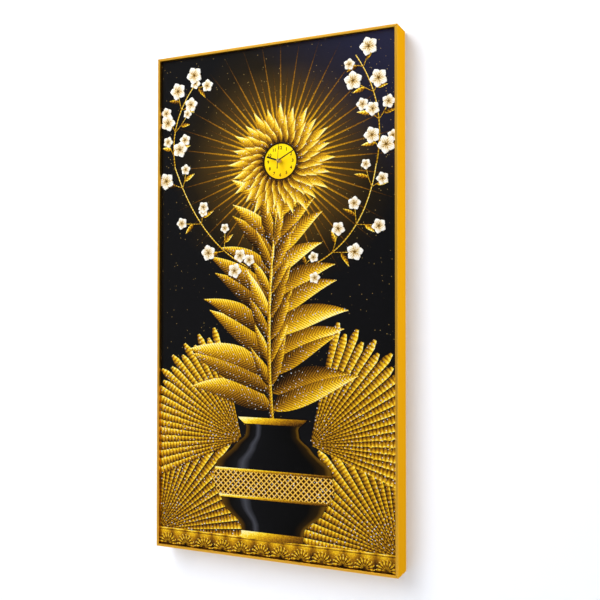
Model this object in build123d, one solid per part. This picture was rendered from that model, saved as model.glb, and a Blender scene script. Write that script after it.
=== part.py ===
"""Framed picture wall clock with a battery quartz movement.

The clock hangs upright. Seen from the front, x runs to the right and z up, and y runs back
into the wall. The origin lies on the wall, midway between the two keyhole hangers.
"""
import math
import os

from build123d import *

# Frame rails: one aluminium section with a square nose in front and a slotted channel behind
FRAME_WIDTH = 412.0
FRAME_HEIGHT = 800.0
FRAME_DEPTH = 39.0
RAIL_WALL = 1.5
NOSE_WIDTH = 4.0
NOSE_DEPTH = 6.0
NOSE_EDGE_RADIUS = 0.5
CHANNEL_WIDTH = 13.0
CHANNEL_DEPTH = 20.0
FLANGE_THICKNESS = 1.5
CHANNEL_LIP_HEIGHT = 4.0
CHANNEL_LIP_THICKNESS = 1.5

# Corner hardware: an angle plate and a thin backing plate in each corner, jacked apart by screws
KEY_LEG_LENGTH = 46.0
KEY_THICKNESS = 2.5
BACKING_THICKNESS = 1.0
KEY_PLAY = 0.15
CORNER_SCREW_RADIUS = 2.0
CORNER_SCREW_LENGTH = 7.8
CORNER_SOCKET_RADIUS = 1.15
CORNER_SOCKET_DEPTH = 2.0
CORNER_SCREW_PLACE_SHARE = 0.62
THREAD_PLAY = 0.04

# Hangers: bent plates under the top rail, each with a keyhole for a wall screw
HANGER_INSET = 86.0
HANGER_DROP = 30.0
HANGER_WIDTH = 34.0
HANGER_THICKNESS = 1.5
HANGER_TAIL = 10.0
HANGER_TOE = 7.0
KEYHOLE_ENTRY_RADIUS = 5.0
KEYHOLE_SLOT_RADIUS = 2.6
KEYHOLE_RISE = 8.0
HANGER_SCREW_RADIUS = 2.0
HANGER_HEAD_RADIUS = 3.8
HANGER_HEAD_HEIGHT = 2.4
HANGER_SOCKET_RADIUS = 1.5
HANGER_SOCKET_DEPTH = 1.4
HANGER_NUT_LENGTH = 18.0
HANGER_NUT_THICKNESS = 3.0

# Pads behind the bottom rail that keep the clock parallel to the wall
BUMPER_RADIUS = 5.0
BUMPER_THICKNESS = 2.0
BUMPER_INSET = 32.0

# Picture panel and the bowed springs that press it against the nose
PRINT_THICKNESS = 0.4
BOARD_THICKNESS = 5.0
BOARD_PLAY = 0.5
CLIP_LENGTH = 64.0
CLIP_WIDTH = 8.5
CLIP_THICKNESS = 0.6
CLIP_FOOT_SHARE = 0.1
CLIP_CROWN_SHARE = 0.2
LONG_SIDE_CLIP_SHARES = (-0.32, 0.0, 0.32)
SHORT_SIDE_CLIP_SHARES = (-0.23, 0.23)

# Dial
DIAL_OFFSET = 16.0
DIAL_DROP = 185.0
BEZEL_RADIUS = 29.3
BEZEL_WIDTH = 2.0
BEZEL_HEIGHT = 2.2
BEZEL_EDGE_RADIUS = 0.7
DIAL_THICKNESS = 0.8
DIAL_PLAY = 0.1

# Shaft stack: the nut lies in a pocket of the board behind the print, and the tubes stand in front of it
NUT_RADIUS = 6.0
NUT_HEIGHT = 2.2
NUT_SETBACK = 0.4
NUT_POCKET_PLAY = 0.8
NUT_SLOT_WIDTH = 1.2
NUT_SLOT_DEPTH = 0.8
BUSHING_RADIUS = 4.0
BUSHING_SETBACK = 0.2
BUSHING_FLANGE_RADIUS = 5.6
BUSHING_FLANGE_THICKNESS = 0.5
BUSHING_PLAY = 0.2
RUBBER_WASHER_RADIUS = 8.0
RUBBER_WASHER_THICKNESS = 0.8
SHAFT_HOLE_PLAY = 0.4
HOUR_TUBE_RADIUS = 2.5
HOUR_TUBE_STANDOFF = 7.6
MINUTE_TUBE_RADIUS = 1.6
MINUTE_TUBE_STANDOFF = 9.45
SECOND_ARBOR_RADIUS = 0.5
SECOND_ARBOR_STANDOFF = 11.0
RUNNING_PLAY = 0.06
PRESS_PLAY = 0.01

# Hands: lengths from the shaft's centre, and their angles clockwise from twelve
HOUR_HAND_LENGTH = 21.5
HOUR_HAND_WIDTH = 2.2
HOUR_HAND_TIP_WIDTH = 3.0
HOUR_HAND_STANDOFF = 6.9
HOUR_HAND_ANGLE = 289.5
MINUTE_HAND_LENGTH = 30.0
MINUTE_HAND_WIDTH = 2.0
MINUTE_HAND_TIP_WIDTH = 1.5
MINUTE_HAND_STANDOFF = 8.9
MINUTE_HAND_ANGLE = 62.0
SECOND_HAND_LENGTH = 26.0
SECOND_HAND_WIDTH = 0.6
SECOND_HAND_STANDOFF = 10.4
SECOND_HAND_ANGLE = 3.4
SECOND_TAIL_LENGTH = 12.9
SECOND_TAIL_WIDTH = 1.8
HAND_THICKNESS = 0.4
COLLET_WALL = 0.45
COLLET_FLANGE_REACH = 0.5
COLLET_FLANGE_THICKNESS = 0.2
HOUR_COLLET_GAP = 0.3
MINUTE_COLLET_LENGTH = 0.8
SECOND_COLLET_LENGTH = 0.5
SECOND_CAP_HEIGHT = 0.6

# Movement case
CASE_SIZE = 56.0
CASE_DEPTH = 17.0
CASE_WALL = 1.4
CASE_CORNER_RADIUS = 3.0
ROOM_GAP = 0.6
COVER_THICKNESS = 1.6
COVER_SKIRT_DEPTH = 1.8
COVER_SKIRT_WIDTH = 1.0
COVER_PLAY = 0.1

# Battery, lying across the foot of the case
BATTERY_RADIUS = 7.1
BATTERY_LENGTH = 49.2
BATTERY_NUB_RADIUS = 2.75
BATTERY_NUB_LENGTH = 1.0
BATTERY_EDGE_RADIUS = 0.8
BATTERY_PLAY = 0.3
CONTACT_THICKNESS = 0.3
CONTACT_WIDTH = 9.0
CONTACT_DEPTH = 8.0
CONTACT_GAP = 0.1
CONTACT_SPRING_DEPTH = 2.5
CONTACT_APEX_WIDTH = 2.0

# Gear train: equally spaced layers behind the case front
LAYER_START = 2.4
LAYER_PITCH = 1.65
WHEEL_THICKNESS = 0.9
PINION_OVERHANG = 0.2
WHEEL_HUB_RADIUS = 0.8
SECOND_MODULE = 0.31
THIRD_MODULE = 0.3
ROTOR_MODULE = 0.3
CANNON_MODULE = 0.4
TOOTH_TIP_SHARE = 0.8
TOOTH_ROOT_SHARE = 1.15
WHEEL_TOOTH_SHARES = (0.24, 0.19, 0.08)
PINION_TOOTH_SHARES = (0.22, 0.17, 0.08)
ROTOR_PINION_TEETH = 8
INTERMEDIATE_WHEEL_TEETH = 32
INTERMEDIATE_PINION_TEETH = 8
SECOND_WHEEL_TEETH = 60
SECOND_PINION_TEETH = 8
THIRD_WHEEL_TEETH = 64
THIRD_PINION_TEETH = 8
CENTRE_WHEEL_TEETH = 60
CANNON_PINION_TEETH = 12
MOTION_WHEEL_TEETH = 36
MOTION_PINION_TEETH = 10
HOUR_WHEEL_TEETH = 40
STEM_PINION_TEETH = 12
THIRD_ANGLE = 60.0
INTERMEDIATE_ANGLE = -15.0
ROTOR_ANGLE = 20.0
MOTION_ANGLE = 150.0
STEM_ANGLE = 130.0
ARBOR_RADIUS = 0.5
ROTOR_ARBOR_RADIUS = 0.4
ARBOR_END_GAP = 0.3
MOTION_POST_RADIUS = 0.8
MOTION_POST_RISE = 0.3
PIVOT_BOSS_RADIUS = 1.5
PIVOT_BOSS_HEIGHT = 2.1

# Bridge that carries the rear pivots, on three pillars
BRIDGE_THICKNESS = 1.0
BRIDGE_MARGIN = 1.9
PILLAR_RADIUS = 1.6
PILLAR_PLACES = ((-12.5, -7.6), (19.5, -7.6), (-7.0, 15.0))
BRIDGE_SCREW_RADIUS = 0.6
BRIDGE_SCREW_LENGTH = 4.0
BRIDGE_HEAD_RADIUS = 1.4
BRIDGE_HEAD_HEIGHT = 0.8

# Stepping motor and its electronics
MAGNET_RADIUS = 3.0
MAGNET_HEIGHT = 3.0
STATOR_HOLE_RADIUS = 3.5
STATOR_RIM = 1.2
STATOR_REACH = 5.0
STATOR_THICKNESS = 1.0
STATOR_DEPTH = 6.0
STATOR_POST_RADIUS = 0.9
COIL_GAP = 0.5
COIL_FOOT = 6.0
COIL_LENGTH = 15.0
COIL_WIDTH = 6.2
CORE_WIDTH = 2.4
CORE_LENGTH = 20.5
CIRCUIT_RISE = 21.6
CIRCUIT_TOP_GAP = 1.0
CIRCUIT_SIDE_GAP = 2.6
CIRCUIT_WIDTH = 28.0
CIRCUIT_HEIGHT = 8.0
CIRCUIT_THICKNESS = 1.0
CIRCUIT_DEPTH = 9.6
CIRCUIT_POST_RADIUS = 1.4
CIRCUIT_POST_SHARES = (-0.36, 0.36)
QUARTZ_RADIUS = 1.0
QUARTZ_LENGTH = 6.0
QUARTZ_PLACE_SHARE = 0.18
CHIP_RADIUS = 2.4
CHIP_HEIGHT = 1.0
CHIP_PLACE_SHARE = -0.22

# Setting knob behind the case
STEM_RADIUS = 1.2
STEM_BOSS_RADIUS = 2.2
KNOB_RADIUS = 7.0
KNOB_THICKNESS = 3.0
KNOB_GAP = 0.4
KNOB_SKIN = 1.0
KNOB_GROOVES = 24
KNOB_GROOVE_RADIUS = 0.45

# How far a cutting tool runs past the material
CUT_OVERRUN = 1.0

# Planes along the depth, all worked out from the wall at zero
frame_back = -BUMPER_THICKNESS
frame_front = frame_back - FRAME_DEPTH
print_front = frame_front + NOSE_DEPTH
print_back = print_front + PRINT_THICKNESS
nut_seat = print_back + NUT_SETBACK + NUT_HEIGHT
board_back = print_back + BOARD_THICKNESS
case_front = board_back + RUBBER_WASHER_THICKNESS
case_rim = case_front + CASE_DEPTH - COVER_THICKNESS
case_back = case_front + CASE_DEPTH
case_floor = case_front + CASE_WALL
channel_front = frame_back - CHANNEL_DEPTH
channel_middle = frame_back - CHANNEL_DEPTH / 2

# Heights and side places on the wall
frame_top = HANGER_DROP
frame_bottom = HANGER_DROP - FRAME_HEIGHT
frame_middle = HANGER_DROP - FRAME_HEIGHT / 2
dial_height = HANGER_DROP - DIAL_DROP


def outline(points):
    """Closed flat face through a list of corner points."""
    return make_face(Polyline(*points, close=True))


def slab(face, front, back):
    """Solid whose section across the depth is a face drawn in x and z."""
    plane = Plane(origin=(0, back, 0), x_dir=(1, 0, 0), z_dir=(0, -1, 0))
    return extrude(plane * face, back - front)


def rod(radius, front, back):
    """Round bar along the depth, on the dial's own centre."""
    return slab(Circle(radius), front, back)


def pin(start, direction, radius, length):
    """Round bar from a point along any direction."""
    return extrude(Plane(origin=start, z_dir=direction) * Circle(radius), length)


def along(angle, distance):
    """Sideways and upward steps of a distance at an angle, seen from the front."""
    turn = math.radians(angle)
    return (distance * math.cos(turn), distance * math.sin(turn))


def layer(number):
    """Depth of the front face of one gear layer."""
    return case_front + LAYER_START + number * LAYER_PITCH


def at_dial(shape):
    """Moves a piece drawn round the dial's centre to its place on the wall."""
    return Pos(DIAL_OFFSET, 0, dial_height) * shape


def placed(shape, place):
    """Moves a piece to a place given by its steps from the dial's centre."""
    return Pos(place[0], 0, place[1]) * shape


# Frame rails, drawn as the top rail with its outer face at zero height


def rail(length):
    """One mitred length of the frame section."""
    inner = CHANNEL_WIDTH - CHANNEL_LIP_THICKNESS
    back_inside = frame_back - FLANGE_THICKNESS
    front_inside = channel_front + FLANGE_THICKNESS
    corners = [
        (frame_front, 0),
        (frame_front, -NOSE_WIDTH),
        (print_front, -NOSE_WIDTH),
        (print_front, -RAIL_WALL),
        (channel_front, -RAIL_WALL),
        (channel_front, -CHANNEL_WIDTH),
        (front_inside + CHANNEL_LIP_HEIGHT, -CHANNEL_WIDTH),
        (front_inside + CHANNEL_LIP_HEIGHT, -inner),
        (front_inside, -inner),
        (front_inside, -RAIL_WALL),
        (back_inside, -RAIL_WALL),
        (back_inside, -inner),
        (back_inside - CHANNEL_LIP_HEIGHT, -inner),
        (back_inside - CHANNEL_LIP_HEIGHT, -CHANNEL_WIDTH),
        (frame_back, -CHANNEL_WIDTH),
        (frame_back, 0),
    ]
    section = outline(corners)
    nose_corners = section.vertices().group_by(Axis.X)[0]
    section = fillet(nose_corners, NOSE_EDGE_RADIUS)
    bar = extrude(Plane(origin=(-length / 2, 0, 0), x_dir=(0, 1, 0), z_dir=(1, 0, 0)) * section, length)
    half = length / 2
    mitre = outline([(-half, 0), (half, 0), (half - CHANNEL_WIDTH, -CHANNEL_WIDTH),
                     (CHANNEL_WIDTH - half, -CHANNEL_WIDTH)])
    return bar & slab(mitre, frame_front - CUT_OVERRUN, frame_back + CUT_OVERRUN)


RAIL_PLACES = {
    "top": Pos(0, 0, frame_top) * Rot(0, 0, 0),
    "bottom": Pos(0, 0, frame_bottom) * Rot(0, 180, 0),
    "left": Pos(-FRAME_WIDTH / 2, 0, frame_middle) * Rot(0, -90, 0),
    "right": Pos(FRAME_WIDTH / 2, 0, frame_middle) * Rot(0, 90, 0),
}
RAIL_LENGTHS = {"top": FRAME_WIDTH, "bottom": FRAME_WIDTH, "left": FRAME_HEIGHT, "right": FRAME_HEIGHT}


# Corner hardware

key_outside = CHANNEL_WIDTH - CHANNEL_LIP_THICKNESS - KEY_PLAY - KEY_THICKNESS
key_inside = key_outside + KEY_THICKNESS
backing_outside = RAIL_WALL + KEY_PLAY
backing_inside = backing_outside + BACKING_THICKNESS
key_front = channel_front + FLANGE_THICKNESS + KEY_PLAY
key_back = frame_back - FLANGE_THICKNESS - KEY_PLAY


def angle_plate(outside, inside):
    """Bent plate for the top left corner, drawn from the corner's outer edges."""
    end = outside + KEY_LEG_LENGTH
    corners = [(outside, -outside), (end, -outside), (end, -inside), (inside, -inside), (inside, -end),
               (outside, -end)]
    return slab(outline(corners), key_front, key_back)


def corner_screws():
    """Two socket screws of the top left corner, one through each leg of the angle plate."""
    reach = key_outside + KEY_LEG_LENGTH * CORNER_SCREW_PLACE_SHARE
    screws = []
    for start, way in (((reach, channel_middle, -backing_inside), (0, 0, -1)),
                       ((backing_inside, channel_middle, -reach), (1, 0, 0))):
        shank = pin(start, way, CORNER_SCREW_RADIUS, CORNER_SCREW_LENGTH)
        socket_plane = Plane(origin=start, z_dir=way).offset(CORNER_SCREW_LENGTH - CORNER_SOCKET_DEPTH)
        socket = extrude(socket_plane * RegularPolygon(CORNER_SOCKET_RADIUS, 6),
                         CORNER_SOCKET_DEPTH + CUT_OVERRUN)
        screws.append(shank - socket)
    return screws


def corner_key():
    """Angle plate with its two threaded holes."""
    plate = angle_plate(key_outside, key_inside)
    reach = key_outside + KEY_LEG_LENGTH * CORNER_SCREW_PLACE_SHARE
    for start, way in (((reach, channel_middle, 0), (0, 0, -1)), ((0, channel_middle, -reach), (1, 0, 0))):
        plate -= pin(start, way, CORNER_SCREW_RADIUS + THREAD_PLAY, key_inside + CUT_OVERRUN)
    return plate


def at_corners(shape):
    """Copies of a piece of the top left corner, mirrored into all four corners."""
    copies = []
    top_left = Pos(-FRAME_WIDTH / 2, 0, frame_top) * shape
    for side in (top_left, mirror(top_left, Plane.YZ)):
        copies.append(side)
        copies.append(mirror(side, Plane.XY.offset(frame_middle)))
    return copies


# Hangers under the top rail


def hanger_bracket():
    """Plate on the slot of the top rail, bent down into a wall leg with a keyhole."""
    half = HANGER_WIDTH / 2
    foot_top = HANGER_DROP - CHANNEL_WIDTH
    foot_front = channel_middle - HANGER_TOE
    leg_face = outline([(-half, -HANGER_TAIL), (half, -HANGER_TAIL), (half, foot_top), (-half, foot_top)])
    wall_leg = slab(leg_face, -HANGER_THICKNESS, 0)
    foot = slab(outline([(-half, foot_top - HANGER_THICKNESS), (half, foot_top - HANGER_THICKNESS),
                         (half, foot_top), (-half, foot_top)]), foot_front, 0)
    slot = KEYHOLE_SLOT_RADIUS
    keyhole = Circle(KEYHOLE_ENTRY_RADIUS) + Pos(0, KEYHOLE_RISE) * Circle(slot)
    keyhole += outline([(-slot, 0), (slot, 0), (slot, KEYHOLE_RISE), (-slot, KEYHOLE_RISE)])
    bracket = wall_leg + foot - slab(keyhole, -HANGER_THICKNESS - CUT_OVERRUN, CUT_OVERRUN)
    hole = pin((0, channel_middle, foot_top + CUT_OVERRUN), (0, 0, -1), HANGER_SCREW_RADIUS + RUNNING_PLAY,
               HANGER_THICKNESS + 2 * CUT_OVERRUN)
    return bracket - hole


def hanger_nut():
    """Threaded plate that lies in the rail's channel behind its lips."""
    lips = HANGER_DROP - CHANNEL_WIDTH + CHANNEL_LIP_THICKNESS
    half = HANGER_NUT_LENGTH / 2
    plate = slab(outline([(-half, lips), (half, lips), (half, lips + HANGER_NUT_THICKNESS),
                          (-half, lips + HANGER_NUT_THICKNESS)]), key_front, key_back)
    start = (0, channel_middle, lips - CUT_OVERRUN)
    thread = HANGER_SCREW_RADIUS + THREAD_PLAY
    return plate - pin(start, (0, 0, 1), thread, HANGER_NUT_THICKNESS + 2 * CUT_OVERRUN)


def hanger_screw():
    """Pan screw that clamps the bracket to its channel nut."""
    seat = HANGER_DROP - CHANNEL_WIDTH - HANGER_THICKNESS
    shank_length = HANGER_THICKNESS + CHANNEL_LIP_THICKNESS + HANGER_NUT_THICKNESS
    head = pin((0, channel_middle, seat), (0, 0, -1), HANGER_HEAD_RADIUS, HANGER_HEAD_HEIGHT)
    rim = head.edges().sort_by(Axis.Z)[0]
    head = fillet(rim, HANGER_HEAD_HEIGHT / 2)
    socket_plane = Plane(origin=(0, channel_middle, seat - HANGER_HEAD_HEIGHT), z_dir=(0, 0, 1))
    head -= extrude(socket_plane * RegularPolygon(HANGER_SOCKET_RADIUS, 6), HANGER_SOCKET_DEPTH)
    return head + pin((0, channel_middle, seat), (0, 0, 1), HANGER_SCREW_RADIUS, shank_length)


def wall_bumpers():
    """Two pads on the back of the bottom rail."""
    pads = []
    for side in (-1, 1):
        across = side * (FRAME_WIDTH / 2 - BUMPER_INSET)
        pads.append(Pos(across, 0, frame_bottom + CHANNEL_WIDTH / 2) * rod(BUMPER_RADIUS, frame_back, 0))
    return pads


# Picture panel


def panel(front, back, hole_radius):
    """Sheet the size of the frame's rebate with a round hole at the dial's centre."""
    width = FRAME_WIDTH - 2 * (RAIL_WALL + BOARD_PLAY)
    height = FRAME_HEIGHT - 2 * (RAIL_WALL + BOARD_PLAY)
    face = Pos(0, frame_middle) * Rectangle(width, height)
    face -= Pos(DIAL_OFFSET, dial_height) * Circle(hole_radius)
    return slab(face, front, back)


def picture_board():
    """Board with a hole for the bushing and a round pocket in its front for the nut."""
    pocket = rod(NUT_RADIUS + NUT_POCKET_PLAY, print_back - CUT_OVERRUN, nut_seat)
    return panel(print_back, board_back, BUSHING_RADIUS + BUSHING_PLAY) - at_dial(pocket)


def spring_clip():
    """Bowed strip between the panel's back and the channel, drawn on the top rail."""
    half = CLIP_LENGTH / 2
    foot = half - CLIP_LENGTH * CLIP_FOOT_SHARE
    crown = CLIP_LENGTH * CLIP_CROWN_SHARE / 2
    feet = channel_front - CLIP_THICKNESS
    crown_back = board_back + CLIP_THICKNESS
    corners = [(-half, feet), (-foot, feet), (-crown, board_back), (crown, board_back), (foot, feet),
               (half, feet), (half, channel_front), (foot, channel_front), (crown, crown_back),
               (-crown, crown_back), (-foot, channel_front), (-half, channel_front)]
    strip = extrude(outline(corners), CLIP_WIDTH)
    return Pos(0, 0, -RAIL_WALL - BOARD_PLAY - CLIP_WIDTH) * strip


def spring_clips():
    """Clips on all four rails, at shares of each rail's length."""
    clips = []
    for side, place in RAIL_PLACES.items():
        shares = LONG_SIDE_CLIP_SHARES if side in ("left", "right") else SHORT_SIDE_CLIP_SHARES
        for share in shares:
            clips.append(place * Pos(share * RAIL_LENGTHS[side], 0, 0) * spring_clip())
    return clips


# Dial and the fixing of the movement


def dial_bezel():
    """Ring round the dial with softened front edges."""
    face = Circle(BEZEL_RADIUS) - Circle(BEZEL_RADIUS - BEZEL_WIDTH)
    ring = slab(face, print_front - BEZEL_HEIGHT, print_front)
    return fillet(ring.edges().group_by(Axis.Y)[0], BEZEL_EDGE_RADIUS)


def dial_disc():
    """Thin disc inside the bezel."""
    disc = Circle(BEZEL_RADIUS - BEZEL_WIDTH - DIAL_PLAY) - Circle(HOUR_TUBE_RADIUS + SHAFT_HOLE_PLAY)
    return slab(disc, print_front - DIAL_THICKNESS, print_front)


def bushing_nut():
    """Round nut with two spanner slots, seated in the board's pocket."""
    front = nut_seat - NUT_HEIGHT
    nut = slab(Circle(NUT_RADIUS) - Circle(BUSHING_RADIUS + THREAD_PLAY), front, nut_seat)
    slots = slab(Rectangle(2 * NUT_RADIUS + CUT_OVERRUN, NUT_SLOT_WIDTH), front - CUT_OVERRUN,
                 front + NUT_SLOT_DEPTH)
    return nut - slots


def rubber_washer():
    """Soft washer between the board and the movement."""
    face = Circle(RUBBER_WASHER_RADIUS) - Circle(BUSHING_RADIUS + BUSHING_PLAY)
    return slab(face, board_back, case_front)


def threaded_bushing():
    """Brass tube through the board, flanged inside the case."""
    front = print_back + BUSHING_SETBACK
    tube = rod(BUSHING_RADIUS, front, case_floor + BUSHING_FLANGE_THICKNESS)
    tube += rod(BUSHING_FLANGE_RADIUS, case_floor, case_floor + BUSHING_FLANGE_THICKNESS)
    return tube - rod(HOUR_TUBE_RADIUS + RUNNING_PLAY, front - CUT_OVERRUN, case_back)


# Gear train


def gear(teeth, module, shares, phase, front, back):
    """Straight toothed wheel whose first tooth stands at the phase angle."""
    pitch_radius = teeth * module / 2
    root_radius = pitch_radius - TOOTH_ROOT_SHARE * module
    tip_radius = pitch_radius + TOOTH_TIP_SHARE * module
    flank = list(zip((root_radius, pitch_radius, tip_radius), shares))
    points = []
    for tooth in range(teeth):
        for radius, share in flank:
            points.append(along(phase + (tooth - share) * 360 / teeth, radius))
        for radius, share in reversed(flank):
            points.append(along(phase + (tooth + share) * 360 / teeth, radius))
    return slab(outline(points), front, back)


def wheel(teeth, module, phase, number):
    """Large gear that fills one layer."""
    return gear(teeth, module, WHEEL_TOOTH_SHARES, phase, layer(number), layer(number) + WHEEL_THICKNESS)


def pinion(teeth, module, phase, number):
    """Small gear, a little longer than its layer."""
    return gear(teeth, module, PINION_TOOTH_SHARES, phase, layer(number) - PINION_OVERHANG,
                layer(number) + WHEEL_THICKNESS + PINION_OVERHANG)


def meshing(phase, teeth, other_teeth, direction):
    """Phase of the other gear, whose gap then meets a tooth on the line of centres."""
    return direction + 180 - (phase - direction) * teeth / other_teeth - 180 / other_teeth


# Layers from the front: hour, motion, centre, third, second and intermediate wheels
(HOUR_LAYER, MOTION_LAYER, CENTRE_LAYER, THIRD_LAYER, SECOND_LAYER, INTERMEDIATE_LAYER,
 BRIDGE_LAYER) = range(7)

# Distances between arbors: each pair of gears on the same two arbors shares one distance
third_distance = THIRD_MODULE * (SECOND_PINION_TEETH + THIRD_WHEEL_TEETH) / 2
centre_module = 2 * third_distance / (THIRD_PINION_TEETH + CENTRE_WHEEL_TEETH)
intermediate_distance = SECOND_MODULE * (INTERMEDIATE_PINION_TEETH + SECOND_WHEEL_TEETH) / 2
rotor_distance = ROTOR_MODULE * (ROTOR_PINION_TEETH + INTERMEDIATE_WHEEL_TEETH) / 2
motion_distance = CANNON_MODULE * (CANNON_PINION_TEETH + MOTION_WHEEL_TEETH) / 2
hour_module = 2 * motion_distance / (MOTION_PINION_TEETH + HOUR_WHEEL_TEETH)
stem_distance = CANNON_MODULE * (MOTION_WHEEL_TEETH + STEM_PINION_TEETH) / 2

third_place = along(THIRD_ANGLE, third_distance)
intermediate_place = along(INTERMEDIATE_ANGLE, intermediate_distance)
rotor_step = along(ROTOR_ANGLE, rotor_distance)
rotor_place = (intermediate_place[0] + rotor_step[0], intermediate_place[1] + rotor_step[1])
motion_place = along(MOTION_ANGLE, motion_distance)
stem_step = along(STEM_ANGLE, stem_distance)
stem_place = (motion_place[0] + stem_step[0], motion_place[1] + stem_step[1])

# Tooth phases: the gears on the centre line start at zero and the others are set to mesh
third_wheel_phase = meshing(0, SECOND_PINION_TEETH, THIRD_WHEEL_TEETH, THIRD_ANGLE)
third_pinion_phase = meshing(0, CENTRE_WHEEL_TEETH, THIRD_PINION_TEETH, THIRD_ANGLE)
intermediate_pinion_phase = meshing(0, SECOND_WHEEL_TEETH, INTERMEDIATE_PINION_TEETH, INTERMEDIATE_ANGLE)
rotor_phase = meshing(0, INTERMEDIATE_WHEEL_TEETH, ROTOR_PINION_TEETH, ROTOR_ANGLE)
motion_wheel_phase = meshing(0, CANNON_PINION_TEETH, MOTION_WHEEL_TEETH, MOTION_ANGLE)
motion_pinion_phase = meshing(0, HOUR_WHEEL_TEETH, MOTION_PINION_TEETH, MOTION_ANGLE)
stem_phase = meshing(motion_wheel_phase, MOTION_WHEEL_TEETH, STEM_PINION_TEETH, STEM_ANGLE)

arbor_front = case_floor + ARBOR_END_GAP
arbor_back = layer(BRIDGE_LAYER) + BRIDGE_THICKNESS


def hour_wheel():
    """Hour wheel with the outer tube of the shaft."""
    back = layer(HOUR_LAYER) + WHEEL_THICKNESS
    body = wheel(HOUR_WHEEL_TEETH, hour_module, 0, HOUR_LAYER)
    body += rod(HOUR_TUBE_RADIUS, print_front - HOUR_TUBE_STANDOFF, back)
    return body - rod(MINUTE_TUBE_RADIUS + RUNNING_PLAY, print_front - HOUR_TUBE_STANDOFF - CUT_OVERRUN,
                      back + CUT_OVERRUN)


def motion_wheel():
    """Motion wheel and pinion, turning on a post of the case."""
    body = wheel(MOTION_WHEEL_TEETH, CANNON_MODULE, motion_wheel_phase, MOTION_LAYER)
    body += gear(MOTION_PINION_TEETH, hour_module, PINION_TOOTH_SHARES, motion_pinion_phase,
                 layer(HOUR_LAYER) - PINION_OVERHANG, layer(MOTION_LAYER))
    return body - rod(MOTION_POST_RADIUS + RUNNING_PLAY, case_floor, layer(CENTRE_LAYER))


def centre_wheel():
    """Centre wheel and cannon pinion on the middle tube of the shaft."""
    back = layer(CENTRE_LAYER) + WHEEL_THICKNESS
    body = wheel(CENTRE_WHEEL_TEETH, centre_module, 0, CENTRE_LAYER)
    body += pinion(CANNON_PINION_TEETH, CANNON_MODULE, 0, MOTION_LAYER)
    body += rod(MINUTE_TUBE_RADIUS, print_front - MINUTE_TUBE_STANDOFF, back)
    return body - rod(SECOND_ARBOR_RADIUS + RUNNING_PLAY, print_front - MINUTE_TUBE_STANDOFF - CUT_OVERRUN,
                      back + CUT_OVERRUN)


def second_wheel():
    """Second wheel and pinion, pressed on the second arbor."""
    body = wheel(SECOND_WHEEL_TEETH, SECOND_MODULE, 0, SECOND_LAYER)
    body += pinion(SECOND_PINION_TEETH, THIRD_MODULE, 0, THIRD_LAYER)
    body += rod(WHEEL_HUB_RADIUS, layer(THIRD_LAYER), layer(SECOND_LAYER))
    return body - rod(SECOND_ARBOR_RADIUS + PRESS_PLAY, layer(CENTRE_LAYER), layer(INTERMEDIATE_LAYER))


def arbored_wheel(wheel_body, pinion_body, arbor_radius, hub_front, hub_back):
    """Wheel and pinion moulded on one arbor between the case and the bridge."""
    hub = rod(WHEEL_HUB_RADIUS, hub_front, hub_back)
    arbor = rod(arbor_radius, arbor_front, arbor_back)
    return wheel_body + pinion_body + hub + arbor


def third_wheel():
    """Third wheel between the second and the centre wheels."""
    large = wheel(THIRD_WHEEL_TEETH, THIRD_MODULE, third_wheel_phase, THIRD_LAYER)
    small = pinion(THIRD_PINION_TEETH, centre_module, third_pinion_phase, CENTRE_LAYER)
    hub_back = layer(THIRD_LAYER) + WHEEL_THICKNESS
    return arbored_wheel(large, small, ARBOR_RADIUS, layer(CENTRE_LAYER), hub_back)


def intermediate_wheel():
    """Wheel between the rotor and the second wheel."""
    large = wheel(INTERMEDIATE_WHEEL_TEETH, ROTOR_MODULE, 0, INTERMEDIATE_LAYER)
    small = pinion(INTERMEDIATE_PINION_TEETH, SECOND_MODULE, intermediate_pinion_phase, SECOND_LAYER)
    hub_back = layer(INTERMEDIATE_LAYER) + WHEEL_THICKNESS
    return arbored_wheel(large, small, ARBOR_RADIUS, layer(SECOND_LAYER), hub_back)


def rotor_pinion():
    """Pinion of the stepping motor on its arbor."""
    body = pinion(ROTOR_PINION_TEETH, ROTOR_MODULE, rotor_phase, INTERMEDIATE_LAYER)
    return body + rod(ROTOR_ARBOR_RADIUS, arbor_front, arbor_back)


stator_front = case_front + STATOR_DEPTH
stator_back = stator_front + STATOR_THICKNESS
stator_middle = (stator_front + stator_back) / 2


def rotor_magnet():
    """Ring magnet in the stator's hole."""
    ring = Circle(MAGNET_RADIUS) - Circle(ROTOR_ARBOR_RADIUS + PRESS_PLAY)
    return slab(ring, stator_middle - MAGNET_HEIGHT / 2, stator_middle + MAGNET_HEIGHT / 2)


def setting_stem():
    """Stem with a pinion that turns the motion wheel."""
    body = pinion(STEM_PINION_TEETH, CANNON_MODULE, stem_phase, MOTION_LAYER)
    return body + rod(STEM_RADIUS, arbor_front, case_back + KNOB_GAP + KNOB_THICKNESS - KNOB_SKIN)


def setting_knob():
    """Grooved knob pressed on the stem's end."""
    front = case_back + KNOB_GAP
    knob = Circle(KNOB_RADIUS)
    for groove in range(KNOB_GROOVES):
        across, up = along(groove * 360 / KNOB_GROOVES, KNOB_RADIUS)
        knob -= Pos(across, up) * Circle(KNOB_GROOVE_RADIUS)
    body = slab(knob, front, front + KNOB_THICKNESS)
    return body - rod(STEM_RADIUS + PRESS_PLAY, front - CUT_OVERRUN, front + KNOB_THICKNESS - KNOB_SKIN)


# Hands, drawn pointing up


def blade(root_width, tip_width, length):
    """Straight tapered hand from the centre outwards."""
    root = root_width / 2
    tip = tip_width / 2
    return outline([(-root, 0), (root, 0), (tip, length), (-tip, length)])


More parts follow.
